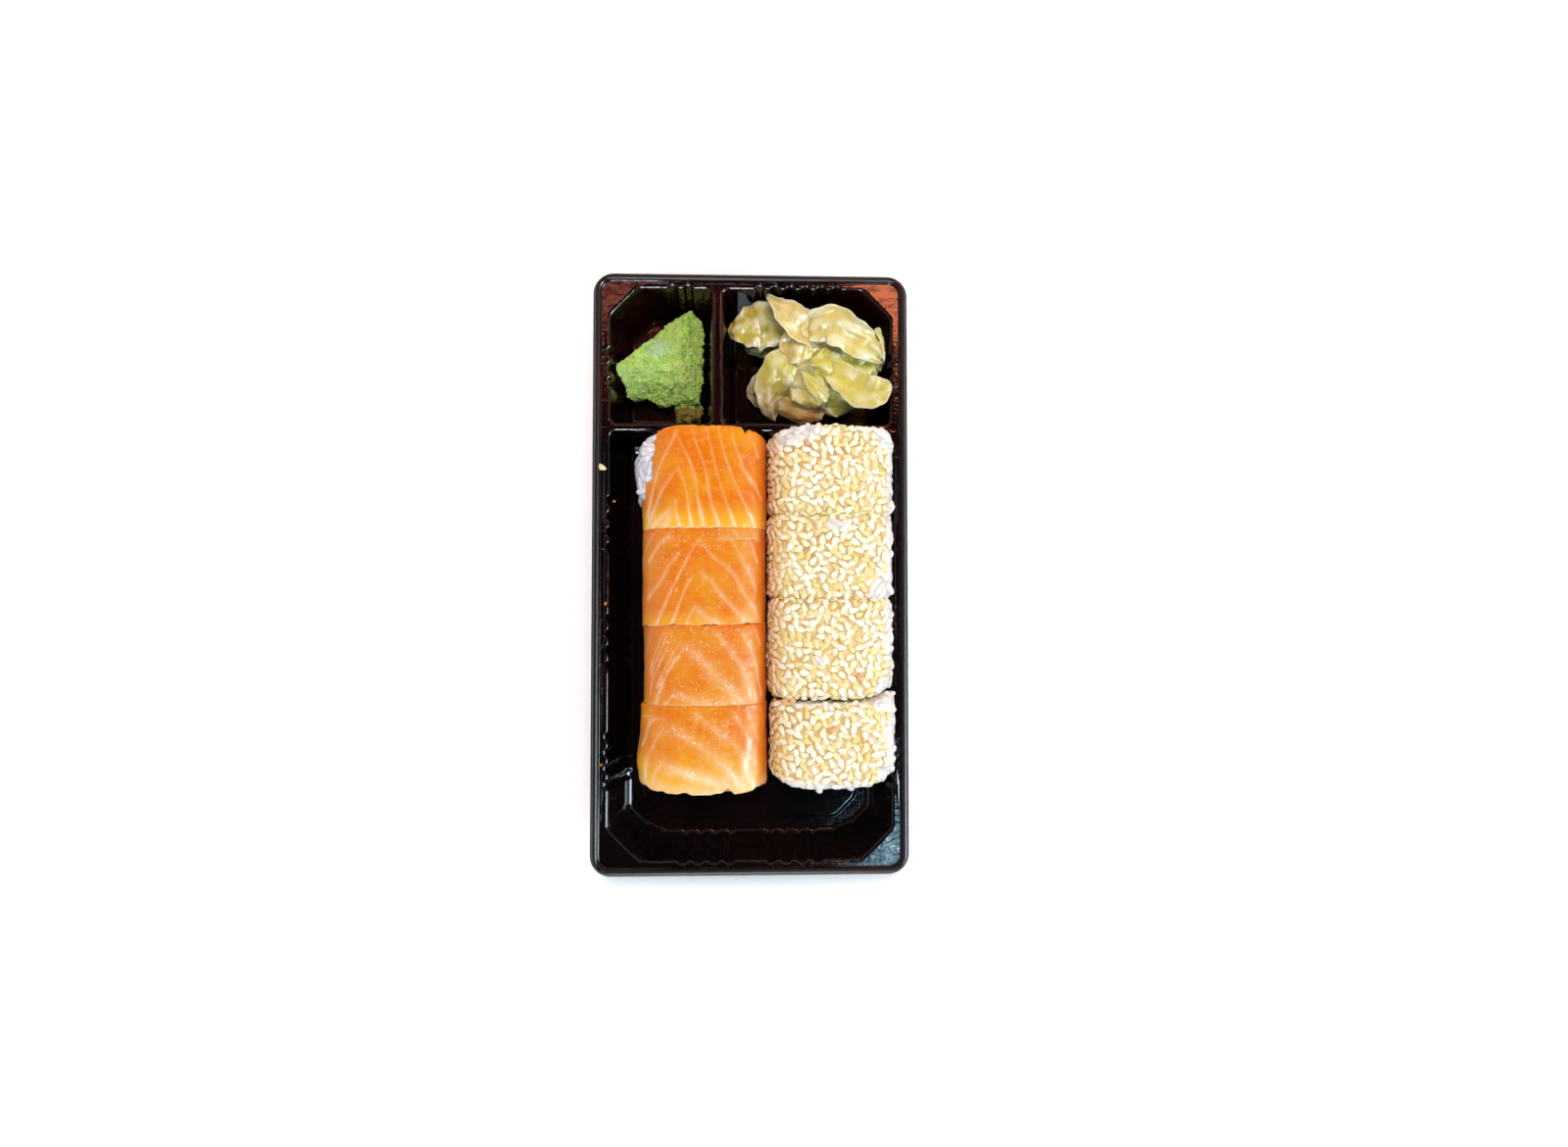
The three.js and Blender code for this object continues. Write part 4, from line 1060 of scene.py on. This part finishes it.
sesameLook = {
    # a seed's size, its taper and how blunt it is, and how deep the rice and the seeds lie
    'size': (3.3, 1.95, 0.9), 'ends': (0.42, 0.95), 'riceDepth': 0.3, 'seedDepth': 0.25,
    'shadedSide': (12.5, 6),              # where across the tray the seeds take painted shade, towards the left side
    # the fresh, cream and golden colours of the upper and the lower seeds: the golden one is painted shade
    # on sunk seeds, and the lower seeds' colours are a darker copy painted as shade
    'upper': [(246, 244, 224), (239, 232, 188), (226, 210, 132)],
    'lower': [(237, 222, 160), (226, 206, 126), (206, 177, 90)],
    'shaded': (218, 160, 84), 'toasted': (206, 132, 60),
    'scatter': {'spacing': 2.2, 'density': 2.2, 'lift': 0.5, 'sink': 0.4, 'tilt': 11,
                'sizes': (0.84, 1.06)},
    'under': {'spacing': 1.9, 'density': 0.8, 'lift': 0.0, 'sink': 0.35, 'tilt': 14,
              'sizes': (0.8, 1.0)},
    # bare patches of rice: centre and half sizes, across from the left and along from the back
    'bare': [
        [(4, 0, 14.5, 6.8), (37.5, 1, 4.6, 6), (41, 20, 3.2, 8)],
        [(21, 3.2, 3.8, 1.5), (38.5, 24.5, 8, 6.5), (41, 10, 3.4, 9)],
        [(40.8, 5, 4, 8), (40, 14.5, 3, 4.5), (38, 28.8, 6, 2.4), (16, 19, 1.6, 1.3)],
        [(10, 0, 22, 0.9), (37, 1.5, 6, 3), (41.5, 13, 4.6, 16), (16, 27, 20, 2.6), (39, 24, 7, 4)],
    ],
    # how far over the right and the left side the seeds thin out, and a bare patch's soft edge
    'sideFade': (16.5, 20.5), 'leftFade': (-40, -36), 'bareEdge': (0.75, 1.1),
}


def sesameSkins(piece, index):
    # depth and bareness of a roll's rice, then depth and cover of its seeds
    middle = (piece['right'] - piece['left']) / 2

    def cover(signed, y):
        along = piece['back'] - y
        across = signed + middle
        share = 1 - 0.93 * smooth(*sesameLook['sideFade'], signed)
        share = share * smooth(*sesameLook['leftFade'], signed)
        for x, s, halfAcross, halfAlong in sesameLook['bare'][index]:
            away = np.hypot((across - x) / halfAcross, (along - s) / halfAlong)
            share = share * smooth(*sesameLook['bareEdge'], away)
        return share

    def depth(signed, y):
        return mix(riceLook['bareDepth'], sesameLook['riceDepth'], cover(signed, y))

    def bareness(signed, y):
        return 1 - 0.85 * cover(signed, y)

    def seedDepth(signed, y):
        return sesameLook['seedDepth'] + 0 * signed
    return depth, bareness, seedDepth, cover


def seedMaterial(name, fresh, cream, golden):
    graph = Paint(name)
    place = graph.place()
    shade = graph.attribute('shade')
    cloud = graph.noise(place, 12, 2)
    fine = graph.noise(place, 0.9, 2)
    edge = graph.limits(graph.axis(place, 'X'), *(x * mm for x in sesameLook['shadedSide']))
    few = graph.math('GREATER_THAN', graph.math('FRACT', shade * 61.0), 0.993)
    # deeper-sunk seeds take the golden colour as painted shade, the left side of the roll painted shade,
    # and a few seeds are toasted
    own = graph.layered(
        graph.blend(graph.limits(fine, 0.4, 0.7), fresh, cream),
        (graph.limits(shade, 0.45, 1.0) * (0.5 + cloud), golden),
        (0.6 * edge * (0.4 + cloud), sesameLook['shaded']), (0.8 * few, sesameLook['toasted']))
    return graph.finished({
        'Base Color': own, 'Roughness': 0.34 + 0.2 * fine, 'Normal': graph.bump(fine, 0.06, 0.4),
        'Specular IOR Level': 0.45}, soft=(0.2, 0.9, (1.0, 0.8, 0.45)))


# Wasabi

wasabiLook = {
    # silhouette points with the height where the paste is widest
    'silhouette': [
        [-43.4, 65.2, 18.5], [-40.6, 68.6, 16.2], [-34.3, 74.6, 13.2], [-25, 83, 11], [-20.3, 85.8, 10],
        [-17.2, 84.2, 9.5], [-16, 80, 9], [-15.9, 71.5, 9], [-16.4, 60, 8.5], [-17.6, 56, 7.5],
        [-22, 56.4, 7], [-27.8, 55.6, 7.6], [-33.5, 57.6, 8], [-39, 57.4, 9.5], [-40.8, 61.5, 14],
    ],
    'centre': (-27, 67.5), 'crown': 15.5, 'around': 260, 'levels': 78, 'lastLevel': 5.9,
    # shares of the silhouette's width and of its height, level by level from the foot to the crown
    'spread': [0.84, 0.97, 1, 0.86, 0.62, 0.32, 0.0], 'rise': [0, 0.45, 1, 1.1, 1, 1, 1],
    # lumps: size, octaves, start and height
    'lumps': ((4.5, 2, 3, 0.8), (1.5, 3, 8, 0.5)), 'margin': 0.45,
    'scatter': {'spacing': 0.65, 'density': 2.4, 'lift': -0.05, 'sink': 0.3, 'tilt': 40,
                'sizes': (0.4, 1.1)},
    # a painted pale bluish highlight on the top of the paste, round a place and within a reach
    'glow': {'place': (-30.4, 72.9, 15), 'reach': 6.5},
    # a low lump at the front end of the paste, which painted shade makes browner
    'frontLump': {'centre': (-20.6, 54.2, 3.2), 'radii': (4.6, 4, 3), 'size': 2.2, 'roughness': 1.5},
    'browned': (56.2, 54.6), 'crumb': (1.5, 1.2, 1.0), 'crumbTaper': 0.2,
    'colours': {'paste': ((156, 210, 84), (182, 224, 108)), 'cloud': (160, 206, 104),
                'light': (214, 228, 140), 'deep': (140, 184, 80), 'glow': (168, 222, 176),
                'browned': (122, 90, 48)},
}


def keepInside(cell, points, margin):
    # below the land, points are held inside the cell's walls, cut corner and floor
    points = np.array(points, float)
    x, y = points[:, 0], points[:, 1]
    z = np.maximum(points[:, 2], tray['sheet'] + 1 + margin)
    free = z > tray['landTop'] + margin + 0.2
    walls = cellWalls(cell, z, margin + 0.2)
    px = np.clip(x, walls['left'], walls['right'])
    py = np.clip(y, walls['front'], walls['back'])
    atLeft = 'backLeft' in cell['cuts']
    side = walls['left'] if atLeft else walls['right']
    cut = cell['cuts']['backLeft' if atLeft else 'backRight']
    past = np.maximum(0, cut - (np.abs(px - side) + np.abs(py - walls['back'])))
    px = px + (1 if atLeft else -1) * past / 2
    py = py - past / 2
    return np.stack([np.where(free, x, px), np.where(free, y, py), z], 1)


def lump(skin, cell, look, margin, around=48, count=20):
    # a rough ellipsoid held inside a cell
    rings = []
    angles = 2 * math.pi * np.arange(around) / around
    for turn in (math.pi * k / count for k in range(1, count)):
        ways = np.stack([math.sin(turn) * np.cos(angles), math.sin(turn) * np.sin(angles),
                         np.full(around, math.cos(turn))], 1)
        points = np.array(look['centre']) + ways * np.array(look['radii'])
        points = points + ways * roughAt(points, look['size'], 2)[:, None] * look['roughness']
        rings.append(skin.loop(keepInside(cells[cell], points, margin)))
    skin.strips(rings)
    skin.cap(rings[0], turned=True)
    skin.cap(rings[-1])


def wasabiMesh():
    look = wasabiLook
    rim = curvePoints(look['silhouette'], look['around'], closed=True)
    cx, cy = look['centre']
    skin = Skin()
    loops = []
    for k in range(look['levels']):
        place = k / (look['levels'] - 1) * look['lastLevel']
        spread = np.interp(place, range(7), look['spread'])
        rise = np.interp(place, range(7), look['rise'])
        foot = np.maximum(roll['foot'], roll['foot'] + (rim[:, 2] - 12) * 0.9)
        low = mix(foot, rim[:, 2], rise)
        high = mix(look['crown'], rim[:, 2], spread ** 1.6)
        z = mix(low, high, smooth(1.7, 2.3, place))
        x = mix(cx, rim[:, 0], spread)
        y = mix(cy, rim[:, 1], spread)
        points = np.stack([x, y, z], 1)
        lumps = sum(roughAt(points, size, octaves, start) * height
                    for size, octaves, start, height in look['lumps'])
        away = np.stack([x - cx, y - cy, (z - 6) * 1.2], 1)
        away /= np.linalg.norm(away, axis=1)[:, None]
        points = keepInside(cells['wasabi'], points + away * lumps[:, None], look['margin'])
        loops.append(skin.loop(points))
    skin.strips(loops)
    skin.cap(loops[0])
    skin.cap(loops[-1])
    lump(skin, 'wasabi', wasabiLook['frontLump'], 0.3, 90, 40)
    mesh = outward(skin.mesh('wasabi_paste'))
    heights = np.array([vertex.co.z for vertex in mesh.vertices]) / mm
    setValues(mesh, 'cover', smooth(2.5, 4, heights))
    return mesh


def wasabiMaterial():
    graph = Paint('wasabi_paste')
    look = wasabiLook['colours']
    place = graph.place()
    cloud = graph.noise(place, 10, 2, 0.6)
    patch = graph.noise(place, 3.2, 3)
    fine = graph.noise(place, 0.8, 3)
    glow = wasabiLook['glow']
    # a painted pale bluish highlight near the top of the paste
    away = graph.add('ShaderNodeVectorMath', {'operation': 'DISTANCE'},
                     {0: place, 1: tuple(value * mm for value in glow['place'])}, 'Value')
    lit = graph.limits(away + 4 * mm * (cloud - 0.5), glow['reach'] * mm, 0)
    # painted shade makes the low front end of the paste browner
    browned = graph.limits(graph.axis(place, 'Y') + 4 * mm * (patch - 0.5),
                           *(y * mm for y in wasabiLook['browned']))
    # the deep colour is painted shade on the deeper-sunk crumbs
    green = graph.layered(
        graph.blend(graph.limits(patch, 0.36, 0.64), *look['paste']),
        (0.5 * graph.limits(cloud, 0.5, 0.68), look['cloud']),
        (0.6 * graph.limits(fine, 0.48, 0.72), look['light']),
        (0.3 * graph.limits(graph.attribute('shade'), 0.6, 1.0), look['deep']),
        (0.6 * lit * graph.limits(patch, 0.34, 0.56), look['glow']),
        (0.85 * browned, look['browned']))
    return graph.finished({
        'Base Color': green, 'Roughness': 0.5 + 0.3 * fine, 'Normal': graph.bump(fine, 0.35, 0.7),
        'Specular IOR Level': 0.35}, soft=(0.45, 1.6, (0.7, 1.0, 0.4)))


# Ginger

gingerLook = {
    # the painted highlight colour of folds and edges and how much of it they take, how much painted shade
    # the valleys take and what their colour is multiplied by for it, and what every colour is multiplied
    # by
    'thickness': 0.75, 'pale': (248, 243, 212), 'paintedHighlightShare': 0.66, 'paintedShadeShare': 0.6,
    'paintedShadeFactor': (0.96, 0.94, 0.6, 1), 'warmth': (1.0, 0.96, 0.92, 1), 'turn': (0.25, 1),
    # slices, the lowest first: spine from the middle of the heap to the tip, half widths along
    # it, tilt across it, how far the edges curl, how deep the ripples are, the colours at its
    # root and at its tip, darker as painted shade on the slices that lie low in shadow
    'slices': [
        ([[13.5, 74.5, 12.5], [4.7, 75.5, 11], [-1.6, 74.3, 9]], [3.6, 4.6, 2.6],
         -12, 1, 0.5, (141, 122, 46), (120, 98, 46)),
        ([[9, 67, 8.5], [2, 61.1, 8], [3.6, 55.8, 5]], [3.6, 3.4, 2.2],
         -15, 0.6, 0.3, (178, 140, 95), (141, 110, 81)),
        ([[18.5, 68.5, 17], [10.5, 65.5, 16], [7, 58, 11.5], [8, 51, 6]], [4.5, 7.4, 5.6, 2.8],
         -10, -1.4, 0.5, (208, 200, 88), (167, 125, 72)),
        ([[18.5, 61, 12.5], [16.9, 55.5, 10.5], [16.4, 50.2, 6]], [6, 8.4, 7.4],
         4, -1, 0.35, (197, 161, 84), (183, 137, 80)),
        ([[24.5, 67, 17], [27.5, 59.5, 14.5], [29, 52, 9]], [4.4, 7.6, 6.8],
         8, -1.6, 0.6, (219, 213, 97), (183, 176, 71)),
        ([[24, 65, 17.5], [19.5, 60.5, 16.5], [14, 56.5, 12.5]], [4.6, 7.2, 5.4],
         -8, -1.2, 0.4, (221, 209, 100), (215, 188, 100)),
        ([[26.5, 69.5, 17], [34, 66.3, 20], [41, 64.8, 18.5]], [4.2, 5.4, 3.4],
         6, 1, 0.9, (208, 211, 97), (211, 216, 114)),
        ([[13, 77, 14], [4, 80, 17], [-2, 79.4, 18], [-7.8, 78.6, 14.5]], [5, 8.6, 6.6, 3.6],
         8, -1.6, 0.9, (171, 167, 81), (193, 173, 64)),
        ([[41, 65.5, 17.5], [42.4, 71.3, 22], [40.1, 78.2, 22]], [1.7, 2.4, 1],
         62, 0.4, 0.3, (211, 208, 106), (206, 193, 100)),
        ([[23, 68.5, 18], [29.8, 61.8, 21.5], [37, 57.2, 23.8], [44.6, 59.2, 24.8]], [2.8, 4.8, 5.8, 3.9],
         12, 1.2, 0.45, (217, 206, 95), (199, 191, 110)),
        ([[23.5, 72, 18.5], [24.6, 67, 19.8], [24.4, 61, 17]], [4.2, 5.4, 4.4],
         0, -1, 0.6, (211, 206, 94), (217, 208, 100)),
        ([[22.5, 71.5, 17.5], [15.8, 72.3, 20], [9.2, 73.2, 17.6]], [3.4, 5.8, 5.6],
         -10, -1, 0.5, (218, 200, 110), (209, 178, 103)),
        ([[17.5, 78, 18.5], [25, 78.4, 24.5], [34.5, 73.4, 24], [42.2, 67.6, 20.8]], [5, 6.2, 5.4, 2.8],
         12, 1.8, 1.5, (219, 202, 132), (214, 206, 123)),
        ([[21.8, 73.6, 17.5], [13.4, 80.4, 23.5], [5, 88.2, 21.5]], [4, 5.6, 1.4],
         16, 1.6, 0.5, (216, 198, 119), (203, 182, 114)),
    ],
    'core': {'centre': (20, 68.5, 9.8), 'radii': (13.8, 12, 8.6), 'size': 5, 'roughness': 1.2},
    'coreMargin': 0.6,
    'colours': {'core': (206, 188, 112), 'cloud': (242, 232, 186), 'fibre': (190, 170, 80)},
}


def gingerSheet(spine, halves, tilt, curl, ripple, index, layer, rows=56, columns=30):
    # one side of a slice as a grid of points, and how pale each point is, with painted highlight on folds
    # and edges and painted shade in the valleys:
    # t runs along the slice and v across it
    spine = curvePoints(spine, rows)
    tangents = np.gradient(spine, axis=0)
    tangents /= np.linalg.norm(tangents, axis=1)[:, None]
    along = np.linspace(0, 1, rows)
    half = np.interp(along, np.linspace(0, 1, len(halves)), halves)
    half = np.convolve(np.pad(half, 4, 'edge'), np.ones(9) / 9, 'valid')
    ends = np.sqrt(np.maximum(0.004, 1 - (2 * along - 1) ** 4))
    angle = math.radians(tilt)
    v = np.linspace(-1, 1, columns)
    thickness = gingerLook['thickness']
    grid = []
    light = []
    for i in range(rows):
        tangent = Vector(tangents[i])
        side = tangent.cross(Vector((0, 0, 1))).normalized()
        side = side * math.cos(angle) + tangent.cross(side) * math.sin(angle)
        normal = side.cross(tangent).normalized()
        t = along[i]
        edge = 1 + 0.05 * np.sin(t * 21 + index) + 0.03 * np.sin(t * 47 + 2 * index)
        width = half[i] * ends[i] * edge
        lift = curl * (v ** 2 - 0.4) + 0.5 * np.sin(t * 8 + (v + 1) * 1.65 + index * 2)
        fold = np.sin(t * 17 + v * 1.4 + index) * (0.35 + 0.65 * np.abs(v)) * ends[i]
        crease = np.sin(v * 7 + index * 1.7 + t * 4)
        lift = lift + ripple * (0.6 * fold + 0.3 * crease)
        crest = fold + 0.5 * crease
        # edges and fold crests are paler with painted highlight, valleys darker with painted shade
        rim = np.maximum(np.abs(v) ** 9, abs(2 * t - 1) ** 16)
        light.append(np.clip(ripple * crest, -0.8, 0.8) * (1 - rim) + rim)
        flat = np.stack([np.full(columns, t * 26), v * half[i], np.full(columns, index * 9.0)], 1)
        uneven = roughAt(flat, 4.5, 2) * 0.9 + roughAt(flat, 1.6, 2) * 0.22
        lift = lift + uneven * min(1, ripple + 0.3)
        thin = thickness * (1 - 0.75 * np.abs(v) ** 6) * min(1, 4 * ends[i])
        lift = lift + layer * thin / 2
        row = spine[i] + np.outer(v * width, side) + np.outer(lift, normal)
        grid.append(keepInside(cells['ginger'], row, 0.5 + layer * thickness * 0.4))
    return grid, np.array(light)


def gingerMesh():
    skin = Skin()
    colours = []
    look = gingerLook
    pale = np.array(tint(*look['pale']))
    for index, entry in enumerate(look['slices']):
        spine, half, tilt, curl, ripple, *ends = entry
        root, tip = (np.array(tint(*colour)) for colour in ends)
        layers = []
        for layer in (1, -1):
            grid, light = gingerSheet(spine, half, tilt, curl, ripple, index, layer)
            layers.append([skin.loop(row) for row in grid])
            share = np.linspace(0, 1, len(grid))[:, None, None]
            light = light[:, :, None]
            own = mix(root, tip, smooth(*look['turn'], share)) * look['warmth']
            # folds and edges take the painted highlight colour and valleys painted shade
            own = mix(own, pale, look['paintedHighlightShare'] * np.clip(light, 0, 1))
            own = mix(own, own * look['paintedShadeFactor'], look['paintedShadeShare'] * np.clip(-light, 0, 1))
            colours.append(own.reshape(-1, 4))
        skin.sheet(layers)
    lump(skin, 'ginger', look['core'], look['coreMargin'])
    coreCount = len(skin.points) - sum(len(block) for block in colours)
    colours.append(np.tile(tint(*look['colours']['core']), (coreCount, 1)))
    mesh = skin.mesh('ginger_slices')
    attribute = mesh.attributes.new('tint', 'FLOAT_COLOR', 'POINT')
    attribute.data.foreach_set('color', np.concatenate(colours).astype(np.float32).ravel())
    return outward(mesh, merged=False)


def gingerMaterial():
    graph = Paint('pickled_ginger')
    look = gingerLook['colours']
    place = graph.place()
    cloud = graph.noise(place, 6, 3, 0.4)
    fibre = graph.noise(graph.stretched(place, (2.4, 0.5, 1.0)), 1.6, 3, 0.3)
    fine = graph.noise(place, 0.7, 2)
    colour = graph.layered(
        graph.attribute('tint', 'Color'), (0.45 * graph.limits(cloud, 0.52, 0.7), look['cloud']),
        (0.35 * graph.limits(fibre, 0.52, 0.72), look['fibre']))
    return graph.finished({
        'Base Color': colour, 'Roughness': 0.28 + 0.18 * fine,
        'Coat Weight': 0.6 * graph.limits(cloud, 0.4, 0.6), 'Coat Roughness': 0.1,
        'Normal': graph.bump(0.7 * fibre + 0.3 * fine, 0.3, 0.45), 'Specular IOR Level': 0.5},
        soft=(0.6, 2.6, (1.0, 0.8, 0.35)))


# Building

# the seed of each scatter's first piece; the others count on from it
scatterSeeds = {'salmonRice': 11, 'sesameRice': 31, 'scatter': 51, 'under': 61, 'wasabi': 71}
# what lies loose on the tray's edge: x, y, z, a turn in degrees and a size
strays = {
    'seeds': [(-46.8, 32.7, 23.2, -20, 1.0)],
    'crumbs': [(-42.9, 22.1, 22.6, 10, 0.7), (-45.4, -10, 22.9, 80, 0.8), (-46.4, -60.1, 22.9, 40, 0.6)],
}


def looseGrains(name, grain, finish, slot, places):
    pieces = []
    for x, y, z, turn, size in places:
        mesh = grain.data.copy()
        mesh.transform(Matrix.Translation((x * mm, y * mm, z * mm))
                       @ Matrix.Rotation(math.radians(turn), 4, 'Z') @ Matrix.Scale(size, 4))
        pieces.append(addPiece(name, mesh, finish))
        setValues(mesh, 'shade', np.zeros(len(mesh.vertices)))
    handOver(joined(pieces), slot)


trayPiece = makeTray(trayMaterial())
handOver(trayPiece, 'tray', 'tray')

ricePaint = riceMaterial()
seedPaint = seedMaterial('hulled_seeds', *sesameLook['upper'])
underPaint = seedMaterial('hulled_seeds_below', *sesameLook['lower'])
salmonPaint = salmonMaterial()
riceGrain = grainObject('rice_grain', riceLook['size'], 6, 7)
seedGrain = grainObject('sesame_seed', sesameLook['size'], 6, 8, *sesameLook['ends'])

for index, piece in enumerate(salmonRow):
    core = rollSurface(f'rice_under_salmon_{index + 1}', piece, *salmonRice(piece, index))
    scattered(core, riceGrain, ricePaint, True, scatterSeeds['salmonRice'] + index, riceLook['scatter'])
    handOver(core, 'rice', f'rice_salmon_{index + 1}')
    name = f'salmon_slice_{index + 1}'
    slicePiece = addPiece(name, salmonMesh(name, piece, index), salmonPaint)
    handOver(slicePiece, 'salmon', f'salmon_{index + 1}')

for index, piece in enumerate(sesameRow):
    depth, bareness, seedDepth, cover = sesameSkins(piece, index)
    core = rollSurface(f'sesame_roll_rice_{index + 1}', piece, depth, bareness)
    scattered(core, riceGrain, ricePaint, True, scatterSeeds['sesameRice'] + index, riceLook['scatter'])
    handOver(core, 'sesame_rice', f'sesame_roll_{index + 1}')
    layers = []
    for name, paint in (('scatter', seedPaint), ('under', underPaint)):
        layer = rollSurface(f'sesame_seeds_{index + 1}', piece, seedDepth, cover, capped=False)
        seed = scatterSeeds[name] + index
        layers.append(scattered(layer, seedGrain, paint, False, seed, sesameLook[name]))
    handOver(joined(layers), 'sesame_rice', f'sesame_roll_{index + 1}')

pastePaint = wasabiMaterial()
paste = addPiece('wasabi_paste', wasabiMesh(), pastePaint)
crumb = grainObject('wasabi_crumb', wasabiLook['crumb'], 4, 5, wasabiLook['crumbTaper'])
scattered(paste, crumb, pastePaint, True, scatterSeeds['wasabi'], wasabiLook['scatter'])
handOver(paste, 'wasabi', 'wasabi')

handOver(addPiece('ginger_slices', gingerMesh(), gingerMaterial()), 'ginger', 'ginger')

looseGrains('loose_seed', seedGrain, seedPaint, 'sesame_rice', strays['seeds'])
looseGrains('salmon_crumbs', crumb, salmonPaint, 'salmon', strays['crumbs'])

for grain in (riceGrain, seedGrain, crumb):
    bpy.data.objects.remove(grain)


# Stage

stageLook = {
    # the studio's brightness by the height in the sky: dark straight overhead
    'sky': [(0.0, 0.66), (0.5, 0.8), (0.8, 0.5), (0.88, 0.05), (1.0, 0.02)],
    'camera': {'place': (-2.87, -12.27, 346.8), 'turn': (0.0363, -0.0412, 0.0), 'lens': 23.625},
    # place in metres, width, height, power in watts, colour; the key only lights and casts
    # shadows, and the glints only show in what is glossy
    'lights': {
        'window': ((0.22, -0.36, 0.95), 0.16, 0.18, 0.88, (0.36, 0.7, 1.0)),
        'windowGlare': ((0.18, -0.285, 0.949), 0.025, 0.03, 0.14, (0.6, 0.88, 1.0)),
        'windowSide': ((0.9, -0.35, 0.5), 0.25, 0.35, 4.0, (0.7, 0.88, 1.0)),
        'glintFront': ((-0.04, -0.8, 0.6), 0.2, 0.7, 12.0, (0.8, 0.92, 1.0)),
        'glintSide': ((0.9, -0.3, 0.6), 0.45, 0.8, 24.0, (0.75, 0.9, 1.0)),
        'key': ((-0.03, 0.3, 1.1), 0.25, 0.25, 6.9, (1.0, 0.98, 0.95)),
        'copperRight': ((0.19, 0.39, 0.95), 0.16, 0.14, 1.65, (1.0, 0.27, 0.125)),
        'copperLeft': ((-0.17, 0.39, 0.95), 0.12, 0.12, 0.3, (1.0, 0.28, 0.19)),
    },
    'floorGlow': 0.15, 'floorReach': 3.0, 'paper': ((0.93, 0.93, 0.93, 1), (0.96, 0.96, 0.96, 1)),
}


def makeFloor():
    graph = Paint('pale_floor')
    paper = graph.noise(graph.place(), 40, 2)
    paint = graph.finished({
        'Base Color': graph.blend(paper, *stageLook['paper']), 'Roughness': 0.8,
        'Specular IOR Level': 0.1, 'Emission Color': (1, 1, 1, 1),
        'Emission Strength': stageLook['floorGlow']})
    mesh = bpy.data.meshes.new('floor')
    far = stageLook['floorReach']
    corners = [(-far, -far, 0), (far, -far, 0), (far, far, 0), (-far, far, 0)]
    mesh.from_pydata(corners, [], [(0, 1, 2, 3)])
    addPiece('floor', mesh, paint)


def makeSky():
    world = bpy.data.worlds.new('studio')
    world.use_nodes = True
    graph = Graph(world.node_tree)
    up = graph.axis(graph.add('ShaderNodeTexCoord', output='Generated'), 'Z')
    stops = [(place, (level, level, level * 1.03, 1)) for place, level in stageLook['sky']]
    sky = graph.add('ShaderNodeValToRGB', {'stops': stops}, {'Fac': up})
    graph.feed(world.node_tree.nodes['Background'].inputs['Color'], sky)
    bpy.context.scene.world = world


def makeLights():
    for name, (place, width, height, power, colour) in stageLook['lights'].items():
        light = bpy.data.lights.new(name, 'AREA')
        light.shape = 'RECTANGLE'
        light.size, light.size_y = width, height
        light.energy = power
        light.color = colour
        lamp = bpy.data.objects.new(name, light)
        lamp.location = place
        lamp.rotation_euler = (-Vector(place)).to_track_quat('-Z', 'Y').to_euler()
        lamp.visible_glossy = name != 'key'
        lamp.visible_diffuse = not name.startswith('glint')
        bpy.context.scene.collection.objects.link(lamp)


def makeCamera():
    scene = bpy.context.scene
    view = stageLook['camera']
    camera = bpy.data.objects.new('camera', bpy.data.cameras.new('camera'))
    camera.data.sensor_width = 36
    camera.data.lens = view['lens']
    camera.data.clip_start = 0.01
    camera.location = Vector(view['place']) * mm
    camera.rotation_euler = view['turn']
    scene.collection.objects.link(camera)
    scene.camera = camera


bpy.context.scene.view_settings.view_transform = 'Standard'
makeFloor()
makeSky()
makeLights()
makeCamera()
print('stage', len(stageLook['lights']), 'lights')
